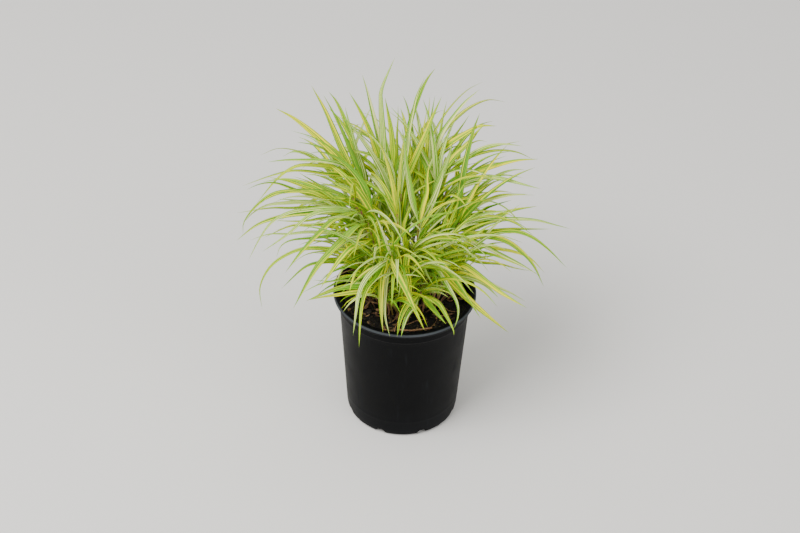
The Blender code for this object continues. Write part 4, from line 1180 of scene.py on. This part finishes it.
def mix_surface(settings):
    """The plug of mix: a fine polar grid whose top is the frame's low bumps plus crumbs of three sizes.

    Height at the top is the frame's rule plus crumb height times the summed noise, fading out at the wall.
    """
    top_radius, foot_radius = mix_radii()
    profile = [(radius, MIX_TOP) for radius in np.linspace(POLE_RADIUS, top_radius, MIX_CIRCLES)]
    profile += [(top_radius - 0.0005, MIX_TOP - 0.003), (foot_radius, MIX_FOOT_HEIGHT)]
    profile += [(foot_radius - MIX_CHAMFER, FLOOR + CLEARANCE), (POLE_RADIUS, FLOOR + CLEARANCE)]
    rings = turned_rings(profile, MIX_SPOKES)
    top = rings[:MIX_CIRCLES]
    x, y = top[..., 0], top[..., 1]
    crumbs = lattice_noise(x, y, 0.0085, 3) + 0.7 * lattice_noise(x, y, 0.0036, 5)
    crumbs += 0.55 * lattice_noise(x, y, 0.0017, 7) ** 2 - 1.1
    fade = np.clip((top_radius - np.hypot(x, y)) / 0.006, 0, 1)
    top[..., 2] = mix_height(x, y) + settings.crumb * crumbs * fade
    return tube_patch(rings)


def surface_height(x, y):
    """Where a thing lies on the mix."""
    return mix_height(x, y) + LITTER_LIFT


def scattered(rng, reach, least=0.0):
    """A random spot, even over a disc about the axis, and its heading."""
    radius = reach * math.sqrt(rng.uniform(least, 1.0))
    heading = rng.uniform(0, TAU)
    return np.array([radius * math.cos(heading), radius * math.sin(heading)]), heading


def spindle(stations, ring, length, width, thick):
    """A spindle along x whose half width and half thickness are scaled by a share for each of its corners."""
    angles = np.arange(ring.shape[1]) * TAU / ring.shape[1]
    return np.stack([np.broadcast_to((stations - 0.5)[:, None] * length, ring.shape),
                     0.5 * width * ring * np.cos(angles), 0.5 * thick * ring * np.sin(angles)], axis=-1)


def chip_patches(count, rng):
    """Bark chips: each a flattened, skewed, lumpy spindle of five rings, laid on the mix.

    A corner's share is the sine of the way along to a low power, times a random number.
    """
    patches = []
    stations = np.array([0.0, 0.16, 0.5, 0.84, 1.0])
    swell = np.sin(np.pi * np.clip(stations, 0.03, 0.97)) ** 0.45
    for _ in range(count):
        (x, y), _ = scattered(rng, LITTER_REACH, 0.02)
        big = rng.random() < 0.10
        length = rng.uniform(0.007, 0.0125) if big else rng.uniform(0.0025, 0.0065)
        width = length * rng.uniform(0.35, 0.75)
        thick = width * rng.uniform(0.25, 0.5)
        ring = swell[:, None] * rng.uniform(0.7, 1.1, (len(stations), CHIP_SIDES))
        local = spindle(stations, ring, length, width, thick)
        turn = Matrix.Rotation(rng.uniform(0, TAU), 3, "Z") @ Matrix.Rotation(rng.normal(0, 0.3), 3, "Y")
        turn = turn @ Matrix.Rotation(rng.normal(0, 0.35), 3, "X")
        spot = np.array([x, y, surface_height(x, y) + 0.3 * thick])
        points = local @ np.array(turn).T + spot
        if np.hypot(points[..., 0], points[..., 1]).max() < mix_radii()[0] - 0.0006:
            habit = carried(points, rng.random(), rng.random() ** (5.0 if big else 3.0), 0.0)
            patches.append(tube_patch(points, habit))
    return patches


def straw_patch(path, radius, pale, seed, around=6, stations=7):
    """A dry culm: a round profile carried along a smooth curve through the given points.

    Its radius swells by a quarter where the eighth power of a cosine along it peaks, as at old joints.
    """
    share = np.linspace(0, 1, stations)
    centres = curve_through(path, share)
    tangents = unit(np.gradient(centres, axis=0))
    across = across_of(tangents, np.array([0.3, 0.2, 1.0]), 0.0)
    beside = np.cross(tangents, across)
    swollen = radius * (1 + 0.25 * np.cos(share * 9 + seed * 6) ** 8)
    rings = round_rings(centres, swollen, across, beside, around)
    return tube_patch(rings, carried(rings, seed, pale, share[:, None]))


def laid_point(pixel):
    """The point of the mix's top that is seen at a pixel of the photograph."""
    near = photo_point(pixel, 0.0)
    step = photo_point(pixel, 0.1) - near
    spot = near + step * (MIX_TOP - near[2]) / step[2]
    return np.array([spot[0], spot[1], surface_height(spot[0], spot[1])])


def laid_patches(rng):
    """The chips that the photograph shows, each at its own pixel on the mix."""
    patches = []
    stations = np.array([0.0, 0.14, 0.5, 0.86, 1.0])
    swell = np.sin(np.pi * np.clip(stations, 0.04, 0.96)) ** 0.5
    for pixel, length, width, turn, pale in LAID_CHIPS:
        ring = swell[:, None] * rng.uniform(0.8, 1.1, (len(stations), LAID_CHIP_SIDES))
        local = spindle(stations, ring, length * MM, width * MM, 0.6 * width * MM)
        points = local @ np.array(Matrix.Rotation(math.radians(turn), 3, "Z")).T + laid_point(pixel)
        points[..., 2] += 0.25 * width * MM
        patches.append(tube_patch(points, carried(points, rng.random(), pale, 0.0)))
    return patches


def laid_stick():
    """The tan stick that lies on the mix just inside the front of the lip."""
    path = np.array([laid_point(pixel) for pixel in LAID_STICK])
    path[:, 2] += 0.0014
    return straw_patch(path, radius=0.0010, pale=0.95, seed=0.4, around=8, stations=12)


def stub_patches(count, rng):
    """Old culm stubs that stand in the crown, leaning any way."""
    patches = []
    for _ in range(count):
        (x, y), heading = scattered(rng, STUB_REACH)
        foot = np.array([x, y, surface_height(x, y) - STUB_DEPTH])
        lean = rng.uniform(0.05, 0.75)
        away = heading + rng.normal(0, 0.8)
        up = np.array([math.sin(lean) * math.cos(away), math.sin(lean) * math.sin(away), math.cos(lean)])
        length = rng.uniform(0.008, 0.040)
        side = np.array([rng.normal(0, 0.1), rng.normal(0, 0.1), 0]) * length
        path = [foot, foot + up * length * 0.5 + side, foot + up * length]
        radius = rng.uniform(0.0005, 0.0010)
        patches.append(straw_patch(path, radius, rng.random(), rng.random(), around=7, stations=6))
    return patches


def fibre_patches(count, rng):
    """Loose straws and roots that lie on the mix in low arcs."""
    patches = []
    for _ in range(count):
        middle, _ = scattered(rng, FIBRE_REACH)
        away = rng.uniform(0, TAU)
        bend = rng.normal(0, 0.35)
        length = rng.uniform(0.010, 0.036)
        shares = np.linspace(-0.5, 0.5, 4)
        bowed = bend * shares**2
        flat = middle + length * np.stack([shares * math.cos(away) - bowed * math.sin(away),
                                           shares * math.sin(away) + bowed * math.cos(away)], axis=1)
        if np.hypot(*flat.T).max() > LITTER_REACH:
            continue
        heights = surface_height(flat[:, 0], flat[:, 1]) + rng.uniform(0.0004, 0.0022, 4)
        path = np.column_stack([flat, heights])
        patches.append(straw_patch(path, rng.uniform(0.00035, 0.0009), rng.random(), rng.random()))
    return patches


def fine_blade(leaf, shares, seed, settings, steps=BLADE_STEPS):
    """A leaf blade: a thin folded profile carried along the blade's path.

    The profile's height is the fold times the distance from the midrib. Its under side lies the skin's
    thickness lower, thinnest at the edges and thickest under the midrib, and the edges ripple along the way.
    """
    stations = np.linspace(0, 1, steps)
    centres = curve_through(leaf.path, stations)
    tangents = unit(np.gradient(centres, axis=0))
    coarse = np.array(BLADE_STATIONS)
    coarse_centres = curve_through(leaf.path, coarse)
    coarse_across = across_of(unit(np.gradient(coarse_centres, axis=0)), leaf.facing, leaf.twist)
    across = np.stack([np.interp(stations, coarse, coarse_across[:, k]) for k in range(3)], axis=1)
    across = unit(across - tangents * np.sum(across * tangents, axis=1, keepdims=True))
    up = np.cross(across, tangents)
    half = 0.5 * leaf.width * blade_width(stations)
    ripple = 0.07 * np.sin(stations * (11 + 7 * seed) + seed * 40) * np.sin(np.pi * stations)
    side = LOOP_ACROSS[None, :]
    fold = settings.fold * (1 - 0.55 * stations)[:, None]
    height = half[:, None] * (fold * (np.sqrt(side**2 + 0.02) - 0.3) + ripple[:, None] * side**3)
    taper = np.clip(half / (0.25 * leaf.width), 0.15, 1)[:, None]
    lower = np.arange(len(LOOP_ACROSS)) >= UPPER_POINTS
    skin = settings.skin * taper * (1 - 0.6 * np.abs(side) + 0.35 * (side == 0))
    height = height - np.where(lower[None, :], skin, 0) - BLADE_SINK
    rings = centres[:, None] + across[:, None] * (half[:, None] * side)[..., None]
    rings = rings + up[:, None] * height[..., None]
    rings[-1] = centres[-1]
    across_along = np.stack(np.broadcast_arrays((side + 1) / 2, stations[:, None]), axis=-1)
    return tube_patch(rings, carried(rings, seed, *shares), across_along, pointed=True)


def fine_culm(centres, joints, seed):
    """A jointed culm: a round profile along its curve, swollen at each joint, with sheaths below the joints.

    The radius is the frame's own taper times 0.82, plus a third for a bell-shaped swelling at a joint and a
    seventh where a sheath wraps the culm.
    """
    stations = np.linspace(0, 1, CULM_STEPS)
    path = centres[1:].copy()
    path[0, 2] -= CULM_SINK
    along = curve_through(path, stations)
    tangents = unit(np.gradient(along, axis=0))
    across = unit(np.cross(tangents, CULM_BESIDE))
    beside = np.cross(tangents, across)
    places = np.array(joints)[None, :]
    bells = np.exp(-((stations[:, None] - places) / 0.018) ** 2).max(axis=1)
    sheath = np.clip((places - stations[:, None]) / 0.2, 0, 1)
    sheath = np.where((stations[:, None] < places) & (sheath < 0.9), 0.14, 0.0).max(axis=1)
    radius = CULM_RADIUS + (CULM_TIP_RADIUS - CULM_RADIUS) * stations
    radius = radius * (0.82 + 0.34 * bells + sheath)
    rings = round_rings(along, radius, across, beside, FINE_CULM_SIDES)
    return tube_patch(rings, carried(rings, seed, bells[:, None], stations[:, None]), material=1)


def trees_beside(name, culm_trees, blade_trees, fixed):
    """What the leaves of a stem have to clear: the other culms, every blade so far, the pot and the mix."""
    return [tree for other, tree in culm_trees.items() if other != name] + blade_trees + fixed


def add_leaf(leaves, own, others, paths, width, facing, twist, tone):
    """Adds the first clear try to a stem's leaves, and its tree to the trees of the stem's own blades."""
    found = grow_blade(paths, width, facing, twist, own, others)
    if found is not None:
        own.append(tree_of(found[0]))
        leaves.append(Leaf(found[1], width, facing, twist, tone))


def picked_stalks(culms, culm_trees, blade_trees, fixed):
    """The picked stems, blade by blade, each clear of what stands already, as the frame's rule has them."""
    stalks = []
    for stem in PICKED:
        centres = culms[stem.name]
        others = trees_beside(stem.name, culm_trees, blade_trees, fixed)
        own = []
        leaves = []
        for blade in stem.blades:
            paths = picked_paths(blade, centres)
            add_leaf(leaves, own, others, paths, blade.width * MM, FACING, 0.0, blade.tone)
        blade_trees += own
        heading = math.atan2(stem.foot[1], stem.foot[0])
        stalks.append(Stalk(stem.name, centres, heading, leaves, [blade.at for blade in stem.blades]))
    return stalks


def grown_stalks(rng, grown, culm_trees, blade_trees, fixed):
    """The stems that the frame's rule grows where none was picked, with the same draws in the same order."""
    stalks = []
    for name, (centres, heading, behind) in grown.items():
        others = trees_beside(name, culm_trees, blade_trees, fixed)
        own = []
        leaves = []
        for k, at in enumerate(GROWN_PLACES):
            tone = rng.choice(sorted(TONES), p=(0.2, 0.2, 0.32, 0.28))
            width = rng.uniform(0.0065, 0.0095) if behind else rng.uniform(0.0045, 0.0065)
            facing = unit(np.array([0.4 * math.cos(heading), 0.4 * math.sin(heading), 1.0]))
            twist = rng.uniform(-0.6, 0.6)
            side = 1 if k % 2 else -1
            paths = grown_paths(rng, centres, heading, behind, at, side)
            add_leaf(leaves, own, others, paths, width, facing, twist, tone)
        blade_trees += own
        stalks.append(Stalk(name, centres, heading, leaves, GROWN_PLACES))
    return stalks


def shoot_paths(rng, centres, at):
    """Candidate paths of a small shoot leaf: steep at first, then arching over, any way round the culm."""
    base = culm_point(centres, at)
    for _ in range(SHOOT_TRIES):
        away = rng.uniform(0, TAU)
        length = rng.uniform(0.030, 0.075)
        rise = math.radians(rng.uniform(52, 86))
        bend = math.radians(rng.uniform(25, 80))
        yield arched(base, away, rise, bend, length, 4, 1.3)


def spray_paths(rng, stalk, at):
    """Candidate paths of a middling leaf: out the way its stem leans, arching, inside the frame's box."""
    base = culm_point(stalk.centres, at)
    outer = np.hypot(*stalk.centres[0, :2]) / CROWN_RADIUS
    for _ in range(SPRAY_TRIES):
        away = stalk.heading + rng.normal(0, 0.85)
        length = rng.uniform(0.060, 0.110 + 0.025 * outer)
        rise = math.radians(rng.uniform(42, 84))
        bend = math.radians(rng.uniform(30, 100))
        path = arched(base, away, rise, bend, length, 5, 1.2)
        if (path > LOW_CORNER + BOX_MARGIN).all() and (path < HIGH_CORNER - BOX_MARGIN).all():
            yield path


def shoot_leaves(rng, stalk, settings, culm_trees, blade_trees, fixed):
    """Smaller leaves of a stem, clear of all that stands already: short ones low down, longer ones above."""
    others = trees_beside(stalk.name, culm_trees, blade_trees, fixed)
    own = []
    leaves = []
    for k in range(settings.shoots + settings.sprays):
        low = k < settings.shoots
        if low:
            at = 0.08 + 0.56 * ((k + rng.random()) / settings.shoots)
            width = rng.uniform(0.0030, 0.0054)
            paths = shoot_paths(rng, stalk.centres, at)
        else:
            at = 0.34 + 0.62 * ((k - settings.shoots + rng.random()) / settings.sprays)
            width = rng.uniform(0.0042, 0.0074)
            paths = spray_paths(rng, stalk, at)
        tones = SHOOT_TONES if low else SPRAY_TONES
        tone = tones[int(rng.integers(len(tones)))]
        add_leaf(leaves, own, others, paths, width, SHOOT_FACING, SHOOT_TWIST, tone)
    blade_trees += own
    return leaves


def grow_all(settings):
    """Every stem of the frame by its rule, then its smaller leaves from draws of their own."""
    rng = np.random.default_rng(SEED)
    pot_tree = tree_of(frame_pot())
    culms = {}
    culm_trees = {}
    for stem in PICKED:
        culms[stem.name] = picked_culm(stem, list(culm_trees.values()))
        culm_trees[stem.name] = tree_of(culm_solid(culms[stem.name]))
    grown = {}
    for i, foot in enumerate(crown_spots([np.array(stem.foot) * MM for stem in PICKED])):
        name = f"stem_grown_{i + 1:02d}"
        found = grown_culm(rng, foot, list(culm_trees.values()))
        if found is None:
            continue
        grown[name] = found
        culm_trees[name] = tree_of(culm_solid(found[0]))
    fixed = [pot_tree, tree_of(frame_mix())]
    blade_trees = []
    stalks = picked_stalks(culms, culm_trees, blade_trees, fixed)
    stalks += grown_stalks(rng, grown, culm_trees, blade_trees, fixed)
    extra = np.random.default_rng(SEED + 1)
    return [(stalk, shoot_leaves(extra, stalk, settings, culm_trees, blade_trees, fixed)) for stalk in stalks]


def camera_turn():
    """The camera's own axes: right and up, rolled as the photograph is, and back towards the eye."""
    right = np.array([1.0, 0.0, 0.0])
    up = np.array([0.0, math.sin(VIEW_ELEVATION), math.cos(VIEW_ELEVATION)])
    rolled_right = math.cos(VIEW_ROLL) * right + math.sin(VIEW_ROLL) * up
    rolled_up = math.cos(VIEW_ROLL) * up - math.sin(VIEW_ROLL) * right
    return rolled_right, rolled_up, np.cross(rolled_right, rolled_up)


def placed(right, up, back, place):
    """The matrix that puts an object at a place with these directions as its own axes."""
    matrix = np.identity(4)
    matrix[:3] = np.column_stack([right, up, back, place])
    return Matrix(matrix.tolist())


def soft_light(name, power, place, size, tint):
    """A square soft light at a place, turned towards the plant."""
    lamp = bpy.data.lights.new(name, "AREA")
    lamp.energy = power
    lamp.size = size
    lamp.color = tint
    back = unit(np.array(place) - np.array(LIT_SPOT))
    side = unit(np.cross([0.0, 0.0, 1.0], back))
    added(name, lamp).matrix_world = placed(side, np.cross(back, side), back, place)


class STAGE_OT_grass(bpy.types.Operator):
    """Adds the pale floor, the soft lights and the camera at the photograph's angle."""

    bl_idname = "grass_set.stage"
    bl_label = "Stage, lights and camera"

    def execute(self, context):
        settings = context.scene.grass_stage
        mesh = bpy.data.meshes.new("pale_floor")
        corners = [(-FLOOR_REACH, -FLOOR_REACH, 0), (FLOOR_REACH, -FLOOR_REACH, 0),
                   (FLOOR_REACH, FLOOR_REACH, 0), (-FLOOR_REACH, FLOOR_REACH, 0)]
        mesh.from_pydata(corners, [], [(0, 1, 2, 3)])
        mesh.materials.append(floor_paint(settings))
        added("pale_floor", mesh)
        soft_light("key_light", settings.key, *KEY_LIGHT)
        soft_light("fill_light", settings.fill, *FILL_LIGHT)
        world = bpy.data.worlds.new("even_sky")
        world.use_nodes = True
        sky = world.node_tree.nodes["Background"]
        sky.inputs["Color"].default_value = SKY_TINT
        sky.inputs["Strength"].default_value = settings.sky
        context.scene.world = world
        lens = bpy.data.cameras.new("photo_view")
        lens.sensor_width = SENSOR
        lens.lens = FOCAL_PX * SENSOR / IMAGE_WIDTH
        lens.clip_start = 0.05
        lens.dof.use_dof = False
        right, up, back = camera_turn()
        camera = added("photo_view", lens)
        camera.matrix_world = placed(right, up, back, VIEW_TARGET + VIEW_DISTANCE * back)
        context.scene.camera = camera
        return {"FINISHED"}


class POT_OT_grass(bpy.types.Operator):
    """Builds the black pot: a turned shell with its drain holes cut."""

    bl_idname = "grass_set.pot"
    bl_label = "Nursery pot"

    def execute(self, context):
        settings = context.scene.grass_pot
        rings = turned_rings(shell_outline(), settings.sides)
        pot = build("nursery_pot", [tube_patch(rings)], [pot_paint(settings)], ["pot"])
        cut_and_keep(pot, drain_plugs())
        return {"FINISHED"}


class MIX_OT_grass(bpy.types.Operator):
    """Builds the crumbly plug of potting mix."""

    bl_idname = "grass_set.mix"
    bl_label = "Potting mix"

    def execute(self, context):
        settings = context.scene.grass_mix
        build("peat_mix", [mix_surface(settings)], [mix_paint(settings)], ["potting_mix"])
        return {"FINISHED"}


class LITTER_OT_grass(bpy.types.Operator):
    """Scatters bark chips, old culm stubs and loose straws over the mix."""

    bl_idname = "grass_set.litter"
    bl_label = "Chips and straws"

    def execute(self, context):
        settings = context.scene.grass_mix
        rng = np.random.default_rng(SEED + 2)
        chips = chip_patches(settings.chips, rng) + laid_patches(rng)
        build("bark_chips", chips, [chip_paint(settings)])
        straws = stub_patches(settings.stubs, rng) + fibre_patches(settings.fibres, rng) + [laid_stick()]
        build("dry_straws", straws, [straw_paint(settings)])
        return {"FINISHED"}


class STEMS_OT_grass(bpy.types.Operator):
    """Grows every leafy stem by the frame's rule, with folded blades, jointed culms and small shoots."""

    bl_idname = "grass_set.stems"
    bl_label = "Leafy stems"

    def execute(self, context):
        settings = context.scene.grass_leaves
        paints = [blade_paint(settings), culm_paint(settings), straw_paint(context.scene.grass_mix)]
        rng = np.random.default_rng(SEED + 3)
        for stalk, shoots in grow_all(settings):
            patches = [fine_culm(stalk.centres, stalk.joints, rng.random())]
            for leaf in stalk.leaves:
                patches.append(fine_blade(leaf, TONES[leaf.tone], rng.random(), settings))
            for leaf in shoots:
                patches.append(fine_blade(leaf, TONES[leaf.tone], rng.random(), settings, SHOOT_STEPS))
            used = paints[:2]
            if stalk.name == DEAD_LEAF_STEM:
                path = next(picked_paths(DEAD_LEAF, stalk.centres))
                leaf = Leaf(path, DEAD_LEAF.width * MM, FACING, DEAD_LEAF_TWIST, DEAD_LEAF.tone)
                dead = fine_blade(leaf, DEAD_LEAF_SHARES, rng.random(), settings)
                patches.append(dead._replace(material=2))
                used = paints
            build(f"leafy_{stalk.name}", patches, used, [stalk.name])
        return {"FINISHED"}


class GRASS_PT_panel(bpy.types.Panel):
    """Lists the steps and their settings in the 3D view's sidebar."""

    bl_idname = "GRASS_PT_panel"
    bl_label = "Potted forest grass"
    bl_space_type = "VIEW_3D"
    bl_region_type = "UI"
    bl_category = "Grass"

    def draw(self, context):
        for group, operators in LISTED:
            box = self.layout.box()
            for operator in operators:
                box.operator(operator.bl_idname)
            settings = getattr(context.scene, group)
            for key in settings.__annotations__:
                box.prop(settings, key)


GROUPS = {"grass_stage": StageSettings, "grass_pot": PotSettings, "grass_mix": MixSettings,
          "grass_leaves": GrassSettings}
LISTED = (("grass_stage", [STAGE_OT_grass]), ("grass_pot", [POT_OT_grass]),
          ("grass_mix", [MIX_OT_grass, LITTER_OT_grass]), ("grass_leaves", [STEMS_OT_grass]))
OPERATORS = [operator for _, operators in LISTED for operator in operators]


def register():
    for group in GROUPS.values():
        bpy.utils.register_class(group)
    for operator in OPERATORS:
        bpy.utils.register_class(operator)
    bpy.utils.register_class(GRASS_PT_panel)
    for name, group in GROUPS.items():
        setattr(bpy.types.Scene, name, bpy.props.PointerProperty(type=group))


def unregister():
    for name in GROUPS:
        delattr(bpy.types.Scene, name)
    bpy.utils.unregister_class(GRASS_PT_panel)
    for operator in reversed(OPERATORS):
        bpy.utils.unregister_class(operator)
    for group in reversed(list(GROUPS.values())):
        bpy.utils.unregister_class(group)


def main():
    register()
    bpy.ops.grass_set.stage()
    bpy.ops.grass_set.pot()
    bpy.ops.grass_set.mix()
    bpy.ops.grass_set.litter()
    bpy.ops.grass_set.stems()


if __name__ == "__main__":
    main()
